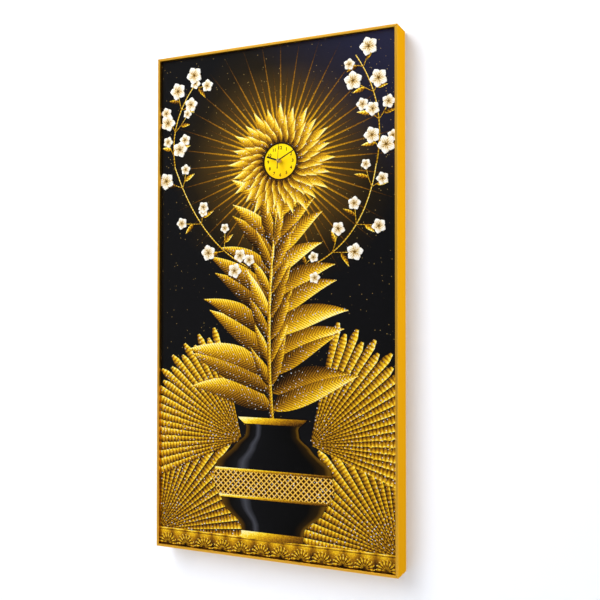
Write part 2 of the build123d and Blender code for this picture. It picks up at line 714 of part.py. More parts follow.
def hand(face, bore, angle, standoff):
    """Flat hand turned to its angle, with a hole for its collet."""
    back = print_front - standoff
    return slab(Rot(0, 0, -angle) * (face - Circle(bore)), back - HAND_THICKNESS, back)


def collet(bore, length, standoff):
    """Brass sleeve behind a hand, with a thin flange over its front."""
    back = print_front - standoff
    front = back - HAND_THICKNESS - COLLET_FLANGE_THICKNESS
    sleeve = rod(bore + COLLET_WALL, front, back + length)
    sleeve += rod(bore + COLLET_WALL + COLLET_FLANGE_REACH, front, back - HAND_THICKNESS)
    return sleeve - rod(bore, front - CUT_OVERRUN, back + length + CUT_OVERRUN)


hour_collet_length = HOUR_HAND_STANDOFF - DIAL_THICKNESS - HOUR_COLLET_GAP
hour_bore = HOUR_TUBE_RADIUS + PRESS_PLAY
minute_bore = MINUTE_TUBE_RADIUS + PRESS_PLAY
second_bore = SECOND_ARBOR_RADIUS + PRESS_PLAY


def hour_hand():
    """Short broad hand, broadest at its blunt tip."""
    boss = Circle(hour_bore + COLLET_WALL + COLLET_FLANGE_REACH)
    face = blade(HOUR_HAND_WIDTH, HOUR_HAND_TIP_WIDTH, HOUR_HAND_LENGTH) + boss
    return hand(face, hour_bore + COLLET_WALL + PRESS_PLAY, HOUR_HAND_ANGLE, HOUR_HAND_STANDOFF)


def minute_hand():
    """Long narrow hand."""
    boss = Circle(minute_bore + COLLET_WALL + COLLET_FLANGE_REACH)
    face = blade(MINUTE_HAND_WIDTH, MINUTE_HAND_TIP_WIDTH, MINUTE_HAND_LENGTH) + boss
    return hand(face, minute_bore + COLLET_WALL + PRESS_PLAY, MINUTE_HAND_ANGLE, MINUTE_HAND_STANDOFF)


def second_hand():
    """Needle with a broad counterweight tail."""
    boss = Circle(second_bore + COLLET_WALL + COLLET_FLANGE_REACH)
    needle = blade(SECOND_HAND_WIDTH, SECOND_HAND_WIDTH, SECOND_HAND_LENGTH)
    tail = Rot(0, 0, 180) * blade(SECOND_HAND_WIDTH, SECOND_TAIL_WIDTH, SECOND_TAIL_LENGTH)
    return hand(needle + tail + boss, second_bore + COLLET_WALL + PRESS_PLAY, SECOND_HAND_ANGLE,
                SECOND_HAND_STANDOFF)


def second_hand_cap():
    """Closed brass cap that holds the second hand on its arbor."""
    face_front = print_front - SECOND_HAND_STANDOFF - HAND_THICKNESS
    cap = rod(second_bore + COLLET_WALL + COLLET_FLANGE_REACH, face_front - SECOND_CAP_HEIGHT, face_front)
    cap = fillet(cap.edges().sort_by(Axis.Y)[0], SECOND_CAP_HEIGHT / 2)
    cap += rod(second_bore + COLLET_WALL, face_front, face_front + HAND_THICKNESS + SECOND_COLLET_LENGTH)
    return cap - rod(second_bore, print_front - SECOND_ARBOR_STANDOFF - PRESS_PLAY, print_front)


# Movement case: the gear room above, as wide as the case, and the battery bay below, as wide as its cell

room_half = CASE_SIZE / 2 - CASE_WALL
room_bottom = -centre_module * (CENTRE_WHEEL_TEETH / 2 + TOOTH_TIP_SHARE) - ROOM_GAP
room_top = CIRCUIT_RISE + CIRCUIT_HEIGHT / 2 + CIRCUIT_TOP_GAP
bay_top = room_bottom - CASE_WALL
bay_bottom = bay_top - 2 * (BATTERY_RADIUS + BATTERY_PLAY)
cell_room = BATTERY_LENGTH + BATTERY_NUB_LENGTH + 2 * CONTACT_GAP
bay_half = (CONTACT_SPRING_DEPTH + cell_room + CONTACT_THICKNESS) / 2
case_bottom = bay_bottom - CASE_WALL
case_top = room_top + CASE_WALL


def room_face(margin):
    """Section of the gear room, drawn in by a margin all round."""
    left = margin - room_half
    return outline([(left, room_bottom + margin), (-left, room_bottom + margin), (-left, room_top - margin),
                    (left, room_top - margin)])


circuit_across = CIRCUIT_SIDE_GAP + CIRCUIT_WIDTH / 2 - room_half
circuit_posts = [(circuit_across + share * CIRCUIT_WIDTH, CIRCUIT_RISE) for share in CIRCUIT_POST_SHARES]
coil_across = room_half - COIL_GAP - COIL_WIDTH / 2
stator_foot = rotor_place[1] - STATOR_REACH
core_top = rotor_place[1] + STATOR_REACH + CORE_LENGTH
stator_posts = [(coil_across, stator_foot + STATOR_POST_RADIUS),
                (coil_across, core_top - STATOR_POST_RADIUS)]


def case_face(width, top):
    """Rounded outline of the case from its foot up to a height."""
    return Pos(0, (case_bottom + top) / 2) * RectangleRounded(width, top - case_bottom, CASE_CORNER_RADIUS)


def movement_case():
    """Moulded tray with the pivots, pillars and posts of the works."""
    walls = case_face(CASE_SIZE, case_top) + case_face(2 * (bay_half + CASE_WALL), room_bottom)
    block = slab(walls, case_front, case_rim)
    block -= slab(room_face(0), case_floor, case_rim + CUT_OVERRUN)
    bay = outline([(-bay_half, bay_bottom), (bay_half, bay_bottom), (bay_half, bay_top),
                   (-bay_half, bay_top)])
    block -= slab(bay, case_floor, case_rim + CUT_OVERRUN)
    boss_back = case_floor + PIVOT_BOSS_HEIGHT
    for place, boss, arbor in ((third_place, PIVOT_BOSS_RADIUS, ARBOR_RADIUS),
                               (intermediate_place, PIVOT_BOSS_RADIUS, ARBOR_RADIUS),
                               (rotor_place, PIVOT_BOSS_RADIUS, ROTOR_ARBOR_RADIUS),
                               (stem_place, STEM_BOSS_RADIUS, STEM_RADIUS)):
        block += placed(rod(boss, case_floor, boss_back), place)
        block -= placed(rod(arbor + RUNNING_PLAY, case_floor, boss_back + CUT_OVERRUN), place)
    post_back = layer(MOTION_LAYER) + WHEEL_THICKNESS + MOTION_POST_RISE
    block += placed(rod(MOTION_POST_RADIUS, case_floor, post_back), motion_place)
    for place in PILLAR_PLACES:
        block += placed(rod(PILLAR_RADIUS, case_floor, layer(BRIDGE_LAYER)), place)
        thread = rod(BRIDGE_SCREW_RADIUS + THREAD_PLAY, arbor_back - BRIDGE_SCREW_LENGTH, arbor_back)
        block -= placed(thread, place)
    for place in circuit_posts:
        block += placed(rod(CIRCUIT_POST_RADIUS, case_floor, case_front + CIRCUIT_DEPTH), place)
    for place in stator_posts:
        block += placed(rod(STATOR_POST_RADIUS, case_floor, stator_front), place)
    return block - rod(BUSHING_RADIUS + THREAD_PLAY, case_front - CUT_OVERRUN, case_floor + CUT_OVERRUN)


def movement_cover():
    """Lid of the gear room, with a skirt inside its walls."""
    half = CASE_SIZE / 2
    lid = case_face(CASE_SIZE, case_top) & outline(
        [(-half, bay_top), (half, bay_top), (half, case_top), (-half, case_top)])
    cover = slab(lid, case_rim, case_back)
    skirt = room_face(COVER_PLAY) - room_face(COVER_PLAY + COVER_SKIRT_WIDTH)
    cover += slab(skirt, case_rim - COVER_SKIRT_DEPTH, case_rim)
    return cover - placed(rod(STEM_RADIUS + RUNNING_PLAY, case_floor, case_back + CUT_OVERRUN), stem_place)


def gear_bridge():
    """Plate with the rear pivots, shaped round its bearings and pillars."""
    rims = [Pos(*place) * Circle(BRIDGE_MARGIN) for place in (*PILLAR_PLACES, third_place, rotor_place)]
    face = make_hull([edge for rim in rims for edge in rim.edges()])
    for place, arbor in (((0, 0), SECOND_ARBOR_RADIUS), (third_place, ARBOR_RADIUS),
                         (intermediate_place, ARBOR_RADIUS), (rotor_place, ROTOR_ARBOR_RADIUS)):
        face -= Pos(*place) * Circle(arbor + RUNNING_PLAY)
    for place in PILLAR_PLACES:
        face -= Pos(*place) * Circle(BRIDGE_SCREW_RADIUS + THREAD_PLAY)
    return slab(face, layer(BRIDGE_LAYER), arbor_back)


def bridge_screws():
    """Small screws that hold the bridge to its pillars."""
    screw = rod(BRIDGE_SCREW_RADIUS, arbor_back - BRIDGE_SCREW_LENGTH, arbor_back)
    screw += rod(BRIDGE_HEAD_RADIUS, arbor_back, arbor_back + BRIDGE_HEAD_HEIGHT)
    return [placed(screw, place) for place in PILLAR_PLACES]


# Motor and electronics


def stator_core():
    """Sheet iron pole plate round the rotor, with an arm through the coil."""
    left = rotor_place[0] - STATOR_HOLE_RADIUS - STATOR_RIM
    right = coil_across + CORE_WIDTH / 2
    arm = coil_across - CORE_WIDTH / 2
    shoulder = rotor_place[1] + STATOR_REACH
    face = outline([(left, stator_foot), (right, stator_foot), (right, core_top), (arm, core_top),
                    (arm, shoulder), (left, shoulder)])
    face -= Pos(*rotor_place) * Circle(STATOR_HOLE_RADIUS)
    return slab(face, stator_front, stator_back)


def coil_winding():
    """Wound block round the stator's arm."""
    left = coil_across - COIL_WIDTH / 2
    right = coil_across + COIL_WIDTH / 2
    top = COIL_FOOT + COIL_LENGTH
    block = slab(outline([(left, COIL_FOOT), (right, COIL_FOOT), (right, top), (left, top)]),
                 stator_middle - COIL_WIDTH / 2, stator_middle + COIL_WIDTH / 2)
    slot_low = COIL_FOOT - CUT_OVERRUN
    slot_high = top + CUT_OVERRUN
    slot_left = coil_across - CORE_WIDTH / 2 - PRESS_PLAY
    slot_right = coil_across + CORE_WIDTH / 2 + PRESS_PLAY
    slot = outline([(slot_left, slot_low), (slot_right, slot_low), (slot_right, slot_high),
                    (slot_left, slot_high)])
    return block - slab(slot, stator_front - PRESS_PLAY, stator_back + PRESS_PLAY)


circuit_front = case_front + CIRCUIT_DEPTH
circuit_back = circuit_front + CIRCUIT_THICKNESS


def circuit_board():
    """Small board on two posts of the case."""
    face = Pos(circuit_across, CIRCUIT_RISE) * Rectangle(CIRCUIT_WIDTH, CIRCUIT_HEIGHT)
    return slab(face, circuit_front, circuit_back)


def quartz_can():
    """Metal can of the quartz, lying on the board."""
    start = circuit_across + QUARTZ_PLACE_SHARE * CIRCUIT_WIDTH
    return pin((start, circuit_back + QUARTZ_RADIUS, CIRCUIT_RISE), (1, 0, 0), QUARTZ_RADIUS, QUARTZ_LENGTH)


def control_chip():
    """Potted chip on the board."""
    place = (circuit_across + CHIP_PLACE_SHARE * CIRCUIT_WIDTH, CIRCUIT_RISE)
    blob = rod(CHIP_RADIUS, circuit_back, circuit_back + CHIP_HEIGHT)
    return placed(fillet(blob.edges().sort_by(Axis.Y)[-1], CHIP_HEIGHT / 2), place)


# Battery and its contacts

battery_height = (bay_bottom + bay_top) / 2
battery_depth = case_floor + BATTERY_PLAY + BATTERY_RADIUS
battery_right = bay_half - CONTACT_THICKNESS - CONTACT_GAP - BATTERY_NUB_LENGTH
battery_left = battery_right - BATTERY_LENGTH
contact_front = battery_depth - CONTACT_DEPTH / 2
contact_back = battery_depth + CONTACT_DEPTH / 2


def battery():
    """Round cell with its raised positive end to the right."""
    can = pin((battery_left, battery_depth, battery_height), (1, 0, 0), BATTERY_RADIUS, BATTERY_LENGTH)
    rims = can.edges().filter_by(GeomType.CIRCLE)
    can = fillet(rims, BATTERY_EDGE_RADIUS)
    return can + pin((battery_right, battery_depth, battery_height), (1, 0, 0), BATTERY_NUB_RADIUS,
                     BATTERY_NUB_LENGTH)


def battery_contact_positive():
    """Flat strip on the right wall of the bay."""
    low = battery_height - CONTACT_WIDTH / 2
    high = battery_height + CONTACT_WIDTH / 2
    inner = bay_half - CONTACT_THICKNESS
    return slab(outline([(inner, low), (bay_half, low), (bay_half, high), (inner, high)]), contact_front,
                contact_back)


def battery_contact_negative():
    """Sprung strip on the left wall of the bay, bent out to the cell's flat end."""
    low = battery_height - CONTACT_WIDTH / 2
    high = battery_height + CONTACT_WIDTH / 2
    wall = -bay_half
    apex = wall + CONTACT_SPRING_DEPTH
    apex_low = battery_height - CONTACT_APEX_WIDTH / 2
    apex_high = battery_height + CONTACT_APEX_WIDTH / 2
    strip = outline([(wall, low), (wall + CONTACT_THICKNESS, low), (apex, apex_low), (apex, apex_high),
                     (wall + CONTACT_THICKNESS, high), (wall, high), (apex - CONTACT_THICKNESS, apex_high),
                     (apex - CONTACT_THICKNESS, apex_low)])
    return slab(strip, contact_front, contact_back)


# Every node of the clock, in order of assembly

nodes = {}
for side, place in RAIL_PLACES.items():
    nodes["frame_rail_" + side] = place * rail(RAIL_LENGTHS[side])
nodes["corner_keys"] = at_corners(corner_key())
nodes["corner_backing_plates"] = at_corners(angle_plate(backing_outside, backing_inside))
nodes["corner_screws"] = [copy for screw in corner_screws() for copy in at_corners(screw)]
nodes["print_sheet"] = panel(print_front, print_back, HOUR_TUBE_RADIUS + SHAFT_HOLE_PLAY)
nodes["picture_board"] = picture_board()
nodes["spring_clips"] = spring_clips()
hanger_sides = {"left": HANGER_INSET - FRAME_WIDTH / 2, "right": FRAME_WIDTH / 2 - HANGER_INSET}
for side, across in hanger_sides.items():
    nodes["hanger_bracket_" + side] = Pos(across, 0, 0) * hanger_bracket()
nodes["hanger_nuts"] = [Pos(across, 0, 0) * hanger_nut() for across in hanger_sides.values()]
nodes["hanger_screws"] = [Pos(across, 0, 0) * hanger_screw() for across in hanger_sides.values()]
nodes["wall_bumpers"] = wall_bumpers()

dial_makers = (dial_bezel, dial_disc, bushing_nut, rubber_washer, threaded_bushing, movement_case,
               movement_cover, gear_bridge, stator_core, coil_winding, circuit_board, quartz_can,
               control_chip, battery, battery_contact_positive, battery_contact_negative, hour_wheel,
               centre_wheel, second_wheel, hour_hand, minute_hand, second_hand, second_hand_cap)
for maker in dial_makers:
    nodes[maker.__name__] = at_dial(maker())
nodes["bridge_screws"] = [at_dial(screw) for screw in bridge_screws()]
nodes["second_arbor"] = at_dial(rod(SECOND_ARBOR_RADIUS, print_front - SECOND_ARBOR_STANDOFF, arbor_back))
nodes["hour_hand_collet"] = at_dial(collet(hour_bore, hour_collet_length, HOUR_HAND_STANDOFF))
nodes["minute_hand_collet"] = at_dial(collet(minute_bore, MINUTE_COLLET_LENGTH, MINUTE_HAND_STANDOFF))
for maker, place in ((third_wheel, third_place), (intermediate_wheel, intermediate_place),
                     (rotor_pinion, rotor_place), (rotor_magnet, rotor_place), (motion_wheel, motion_place),
                     (setting_stem, stem_place), (setting_knob, stem_place)):
    nodes[maker.__name__] = at_dial(placed(maker(), place))

os.makedirs("parts", exist_ok=True)
for name, shape in nodes.items():
    solids = shape if isinstance(shape, list) else [shape]
    export_step(Compound(children=solids), os.path.join("parts", name + ".step"))
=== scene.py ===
import math
import random
from functools import partial

import bmesh
import bpy
from mathutils import Matrix, Vector


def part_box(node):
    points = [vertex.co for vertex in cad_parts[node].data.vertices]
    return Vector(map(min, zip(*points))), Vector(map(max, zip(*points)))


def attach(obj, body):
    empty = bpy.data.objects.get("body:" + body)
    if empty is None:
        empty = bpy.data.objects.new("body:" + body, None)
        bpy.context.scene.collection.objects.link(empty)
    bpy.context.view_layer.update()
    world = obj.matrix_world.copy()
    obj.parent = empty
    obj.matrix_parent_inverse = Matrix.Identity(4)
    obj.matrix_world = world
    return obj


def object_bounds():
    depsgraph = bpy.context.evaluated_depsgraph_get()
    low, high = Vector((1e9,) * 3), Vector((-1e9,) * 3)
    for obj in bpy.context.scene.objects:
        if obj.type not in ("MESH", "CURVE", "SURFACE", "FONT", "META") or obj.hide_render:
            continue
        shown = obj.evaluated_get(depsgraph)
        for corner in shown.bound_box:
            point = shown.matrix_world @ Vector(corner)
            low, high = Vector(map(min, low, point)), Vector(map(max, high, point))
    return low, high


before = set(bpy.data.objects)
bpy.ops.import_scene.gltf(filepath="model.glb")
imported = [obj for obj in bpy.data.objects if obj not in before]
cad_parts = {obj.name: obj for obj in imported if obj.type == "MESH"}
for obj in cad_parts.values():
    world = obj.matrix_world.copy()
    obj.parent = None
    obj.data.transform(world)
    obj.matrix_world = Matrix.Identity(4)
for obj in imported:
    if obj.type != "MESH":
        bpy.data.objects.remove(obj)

cad_box = [list(corner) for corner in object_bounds()]


# Gold frame rails
# Four mitred lengths of one extruded aluminium section, satin etched and then anodised gold.
# Angle plates inside the channel draw the mitres together, so each shows as a hairline.

MM = 0.001


def linear(hex_colour):
    """Linear colour with full alpha from an sRGB hex value."""
    values = []
    for start in (1, 3, 5):
        share = int(hex_colour[start:start + 2], 16) / 255
        values.append(share / 12.92 if share <= 0.04045 else ((share + 0.055) / 1.055) ** 2.4)
    return (*values, 1.0)


def add_node(tree, kind, *by_place, stops=(), **named):
    """Adds a node with its settings, its ramp stops and a value or a link for each input.

    Names in small letters are settings, and names with capitals are inputs, with _ for a space.
    A node given for an input stands for the first of its outputs in use.
    """
    node = tree.nodes.new(kind if "Node" in kind else "ShaderNode" + kind)
    for name, value in named.items():
        if name.islower():
            setattr(node, name, value)
    in_use = {socket.name.replace(" ", "_"): socket for socket in node.inputs if socket.enabled}
    given = list(zip(node.inputs, by_place))
    given += [(in_use[name], value) for name, value in named.items() if not name.islower()]
    for socket, value in given:
        if isinstance(value, bpy.types.Node):
            value = next(output for output in value.outputs if output.enabled)
        if isinstance(value, bpy.types.NodeSocket):
            tree.links.new(value, socket)
        else:
            socket.default_value = value
    if stops:
        elements = node.color_ramp.elements
        for _ in stops[len(elements):]:
            elements.new(1.0)
        for element, (share, colour) in zip(elements, stops):
            element.position = share
            element.color = linear(colour)
    return node


def new_finish(name):
    """Empty material, and add_node tied to its tree."""
    material = bpy.data.materials.new(name)
    material.use_nodes = True
    material.node_tree.nodes.clear()
    return material, partial(add_node, material.node_tree)


def surfaced(material, **sockets):
    """Gives a material its shader, with each socket set to a plain value or linked."""
    shader = add_node(material.node_tree, "BsdfPrincipled", **sockets)
    add_node(material.node_tree, "OutputMaterial", Surface=shader)
    return material


def finish_nodes(material, *names):
    """Gives CAD pieces their material."""
    for name in names:
        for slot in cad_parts[name].material_slots:
            slot.material = material


frame_half_width = cad_box[1][0]
frame_half_height = (cad_box[1][2] - cad_box[0][2]) / 2
frame_middle = (cad_box[1][2] + cad_box[0][2]) / 2


def anodised_gold(name, line_scale):
    """Gold anodised aluminium: warm satin metal, fine die lines along the bar, dark mitre lines."""
    mitre_line_width = 0.4 * MM
    material, add = new_finish(name)
    place = add("TexCoord").outputs["Object"]
    lines_place = add("Mapping", Vector=place, Scale=line_scale)
    lines = add("TexNoise", Vector=lines_place, Scale=1.0, Detail=3.0)
    tint = add("ValToRGB", Fac=lines, stops=((0.3, "#FCBB3B"), (0.7, "#FEC345")))
    axes = add("SeparateXYZ", Vector=place).outputs
    side = add("Math", axes["X"], operation="ABSOLUTE")
    height = add("Math", axes["Z"], frame_middle, operation="SUBTRACT")
    rise = add("Math", height, operation="ABSOLUTE")
    lead = add("Math", rise, side, operation="SUBTRACT")
    mitre = add("Math", lead, frame_half_height - frame_half_width, mitre_line_width / 2,
                operation="COMPARE")
    colour = add("Mix", Factor=mitre, A=tint, B=linear("#5A3608"), data_type="RGBA")
    polish = add("MapRange", Value=lines, To_Min=0.25, To_Max=0.35)
    relief = add("Bump", Height=lines, Strength=0.12, Distance=0.05 * MM)
    return surfaced(material, Base_Color=colour, Metallic=1.0, Specular_Tint=linear("#FFDA84"),
                    Roughness=polish, Normal=relief)


# Real die lines stand about 0.2 mm apart; these are drawn coarser so that they show
die_line_pitch = 1.1 * MM
die_line_run = 70 * MM
across_bar = 1 / die_line_pitch
along_bar = 1 / die_line_run
finish_nodes(anodised_gold("anodised_gold_level_bar", (along_bar, across_bar, across_bar)),
             "frame_rail_top", "frame_rail_bottom")
finish_nodes(anodised_gold("anodised_gold_upright_bar", (across_bar, across_bar, along_bar)),
             "frame_rail_left", "frame_rail_right")


# Corner plates, jacking screws and channel nuts
# Bent steel angles, punched and zinc plated, that sit in the channel of two rails at each corner.
# Socket screws of blackened steel press the thin backing plates outwards and lock the corner.


def plated_steel(name, dark, light, cloud_size, roughness):
    """Plated steel: cool metal with cloudy patches left by the bath and a fine tumbled grain."""
    grain_size = 0.6 * MM
    dull, bright = roughness + 0.1, roughness - 0.06
    material, add = new_finish(name)
    place = add("TexCoord").outputs["Object"]
    clouds = add("TexNoise", Vector=place, Scale=1 / cloud_size, Detail=4.0)
    tint = add("ValToRGB", Fac=clouds, stops=((0.35, dark), (0.68, light)))
    polish = add("MapRange", Value=clouds, To_Min=dull, To_Max=bright)
    grain = add("TexNoise", Vector=place, Scale=1 / grain_size, Detail=2.0)
    relief = add("Bump", Height=grain, Strength=0.2, Distance=0.03 * MM)
    return surfaced(material, Base_Color=tint, Metallic=1.0, Roughness=polish, Normal=relief)


zinc_plate = plated_steel("zinc_plated_steel", "#8E9499", "#C6CACC",
                          cloud_size=6 * MM, roughness=0.34)
black_steel = plated_steel("black_oxide_steel", "#1C1D20", "#33343A",
                           cloud_size=3 * MM, roughness=0.36)
finish_nodes(zinc_plate, "corner_keys", "corner_backing_plates", "hanger_nuts")
finish_nodes(black_steel, "corner_screws")


# Picture print
# A sheet of film printed near black, warm round the dial and blue black in the upper right corner.
# A clear satin film is laminated over the ink, so a lamp shows in it only as a faint sheen.

dial_low, dial_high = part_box("dial_disc")
dial_centre = (dial_low + dial_high) / 2


def satin_print():
    """Laminated print: deep black under a clear satin film, with gold dust in the ink."""
    glow_reach = 215 * MM
    mist_size = 60 * MM
    mist_share = 0.14
    night_start, night_end = 120 * MM, 340 * MM
    dust_pitch = 7 * MM
    material, add = new_finish("satin_laminated_print")
    place = add("TexCoord").outputs["Object"]
    flat = add("Mapping", Vector=place, Location=(-dial_centre.x, 0, -dial_centre.z))
    level = add("VectorMath", flat, (1, 0, 1), operation="MULTIPLY")
    reach = add("VectorMath", level, operation="LENGTH")
    share = add("Math", reach, glow_reach, operation="DIVIDE")
    mist = add("TexNoise", Vector=place, Scale=1 / mist_size, Detail=5.0)
    uneven = add("Math", mist, mist_share, share, operation="MULTIPLY_ADD")
    glow = add("ValToRGB", Fac=uneven, stops=((0.15, "#8A6414"), (0.45, "#4E380C"),
                                              (0.8, "#1B1408"), (1.0, "#0B0B0D")))
    axes = add("SeparateXYZ", Vector=flat).outputs
    corner = add("Math", axes["X"], axes["Z"], operation="ADD")
    night = add("MapRange", Value=corner, From_Min=night_start, From_Max=night_end, To_Max=0.8)
    ink = add("Mix", Factor=night, A=glow, B=linear("#20203A"), data_type="RGBA")
    dust = add("TexVoronoi", Vector=place, Scale=1 / dust_pitch, Randomness=1.0)
    speck = add("MapRange", Value=dust, From_Min=0.06, From_Max=0.1, To_Min=0.55, To_Max=0.0)
    colour = add("Mix", Factor=speck, A=ink, B=linear("#D8B768"), data_type="RGBA")
    return surfaced(material, Base_Color=colour, Roughness=0.3, Specular_IOR_Level=0.09)


finish_nodes(satin_print(), "print_sheet")


# Sun rays of the picture
# Hot foil is stamped over the film by a raised die, which presses each shape in slightly embossed.
# The rays behind the dial are the deepest gold and fade out towards their tips.

GOLD_TONES = ((0.05, "#140A01"), (0.2, "#3A2204"), (0.34, "#6C4406"), (0.5, "#9C6A0A"),
              (0.65, "#D09A10"), (0.77, "#F2C41A"), (0.88, "#FFE244"), (1.0, "#FFF2A8"))


def new_sheet():
    """Empty sheet of foil that blades are laid on."""
    return {"points": [], "faces": [], "lengths": [], "shares": [], "tones": []}


def lay_blade(sheet, line, half_width, level, ridge, tone=0.5, columns=6):
    """Lays one blade on a sheet, along a line of x and z in millimetres.

    Its edges stand at a level, with upright walls below, and its midrib is a ridge above them.
    """
    first = len(sheet["points"])
    last = len(line) - 1
    broadest = max(half_width(row / last) for row in range(last + 1))
    run = 0.0
    for row, here in enumerate(line):
        before = line[max(row - 1, 0)]
        after = line[min(row + 1, last)]
        heading = Vector((after[0] - before[0], after[1] - before[1])).normalized()
        run += math.dist(before, here)
        half = half_width(row / last)
        for column in range(columns + 1):
            across = 2 * column / columns - 1
            side = across * half
            sheet["points"].append((here[0] + heading.y * side,
                                    -level - ridge * (1 - abs(across)) * half / broadest,
                                    here[1] - heading.x * side))
            sheet["lengths"].append((run, side, 0.0))
            sheet["shares"].append((row / last, across, 0.0))
            sheet["tones"].append(tone)
    wide = columns + 1
    for row in range(last):
        for column in range(columns):
            corner = first + row * wide + column
            sheet["faces"].append((corner, corner + 1, corner + wide + 1, corner + wide))
    rim = [*range(columns), *range(columns, last * wide + columns, wide),
           *range(last * wide + columns, last * wide, -1), *range(last * wide, 0, -wide)]
    foot = len(sheet["points"])
    for place, corner in enumerate(rim):
        after = (place + 1) % len(rim)
        x, _, z = sheet["points"][first + corner]
        sheet["points"].append((x, 0.0, z))
        for measure in ("lengths", "shares", "tones"):
            sheet[measure].append(sheet[measure][first + corner])
        sheet["faces"].append((first + rim[after], first + corner, foot + place, foot + after))


def place_object(name, data):
    """Object in the scene that holds a mesh, a text, a lamp or a camera."""
    holder = bpy.data.objects.new(name, data)
    bpy.context.scene.collection.objects.link(holder)
    return holder


print_low, print_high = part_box("print_sheet")
print_front = print_low.y


def foil_piece(name, sheet, finish, depth=print_front):
    """Piece cut from a sheet of foil at a depth, with its leaf measures kept on each point."""
    points = [(MM * x, MM * y + depth, MM * z) for x, y, z in sheet["points"]]
    mesh = bpy.data.meshes.new(name)
    mesh.from_pydata(points, [], sheet["faces"])
    for label, rows in (("leaf_mm", sheet["lengths"]), ("leaf_share", sheet["shares"])):
        attribute = mesh.attributes.new(label, "FLOAT_VECTOR", "POINT")
        attribute.data.foreach_set("vector", [value for row in rows for value in row])
    mesh.attributes.new("tone", "FLOAT", "POINT").data.foreach_set("value", sheet["tones"])
    mesh.materials.append(finish)
    return place_object(name, mesh)


def straight(length, rows=12):
    """Upright line of a length from the origin."""
    return [(0.0, length * row / rows) for row in range(rows + 1)]


def start_tree(name, inputs):
    """Geometry tree with named inputs and one result, and add_node tied to it."""
    tree = bpy.data.node_groups.new(name, "GeometryNodeTree")
    for label, kind in (*inputs, ("Seed", "Int"), ("Finish", "Material")):
        tree.interface.new_socket(name=label, in_out="INPUT", socket_type="NodeSocket" + kind)
    tree.interface.new_socket(name="Geometry", in_out="OUTPUT", socket_type="NodeSocketGeometry")
    add = partial(add_node, tree)
    return tree, add, add("NodeGroupInput").outputs


def finish_tree(tree, copies, given):
    """Gives each copy its own tone, then makes the copies real and sets their material."""
    add = partial(add_node, tree)
    tone = add("FunctionNodeRandomValue", Min=0.0, Max=1.0, Seed=given["Seed"], data_type="FLOAT")
    toned = add("GeometryNodeStoreNamedAttribute", Geometry=copies, Name="tone", Value=tone,
                data_type="FLOAT", domain="INSTANCE")
    whole = add("GeometryNodeRealizeInstances", Geometry=toned)
    painted = add("GeometryNodeSetMaterial", Geometry=whole, Material=given["Finish"])
    add("NodeGroupOutput", Geometry=painted)
    return tree


def round_a_centre():
    """Tree that turns copies of one blade clockwise round a centre, every second one shorter."""
    tree, add, given = start_tree("blades_round_a_centre", (
        ("Blade", "Object"), ("Count", "Int"), ("First Angle", "Float"), ("Step Angle", "Float"),
        ("Root Radius", "Float"), ("Centre", "Vector"), ("Short Share", "Float"),
        ("Stagger", "Float")))
    index = add("GeometryNodeInputIndex")
    turn = add("Math", index, given["Step Angle"], given["First Angle"], operation="MULTIPLY_ADD")
    odd = add("Math", index, 2.0, operation="MODULO")
    across = add("Math", turn, operation="SINE")
    up = add("Math", turn, operation="COSINE")
    way = add("CombineXYZ", X=across, Z=up)
    root = add("VectorMath", way, Scale=given["Root Radius"], operation="SCALE")
    forward = add("Math", odd, given["Stagger"], operation="MULTIPLY")
    lift = add("CombineXYZ", Y=forward)
    raised = add("VectorMath", root, lift, operation="SUBTRACT")
    place = add("VectorMath", raised, given["Centre"], operation="ADD")
    points = add("GeometryNodePoints", Count=given["Count"], Position=place)
    turned = add("CombineXYZ", Y=turn)
    heading = add("FunctionNodeEulerToRotation", Euler=turned)
    loss = add("Math", given["Short Share"], 1.0, operation="SUBTRACT")
    length = add("Math", odd, loss, 1.0, operation="MULTIPLY_ADD")
    size = add("CombineXYZ", X=1.0, Y=1.0, Z=length)
    blade = add("GeometryNodeObjectInfo", Object=given["Blade"]).outputs["Geometry"]
    copies = add("GeometryNodeInstanceOnPoints", Points=points, Instance=blade, Rotation=heading,
                 Scale=size)
    return finish_tree(tree, copies, given)


def grow(name, tree, mesh=None, **values):
    """Runs a tree once and keeps a plain mesh; first_angle gives its input First Angle."""
    piece = place_object(name, mesh or bpy.data.meshes.new(name))
    modifier = piece.modifiers.new(name, "NODES")
    modifier.node_group = tree
    for item in tree.interface.items_tree:
        label = item.name.lower().replace(" ", "_")
        if item.in_out == "INPUT" and label in values:
            modifier[item.identifier] = values[label]
    shown = bpy.context.evaluated_depsgraph_get()
    result = bpy.data.meshes.new_from_object(
        piece.evaluated_get(shown), preserve_all_data_layers=True, depsgraph=shown)
    piece.modifiers.remove(modifier)
    piece.data = result
    return piece


blades_round = round_a_centre()


def blade_ring(name, finish, line, half_width, level, ridge, columns, **values):
    """Lays one blade and turns copies of it round a centre."""
    sheet = new_sheet()
    lay_blade(sheet, line, half_width, level, ridge, columns=columns)
    blade = foil_piece("blade", sheet, finish, depth=0.0)
    ring = grow(name, blades_round, blade=blade, finish=finish, **values)
    bpy.data.objects.remove(blade)
    return ring


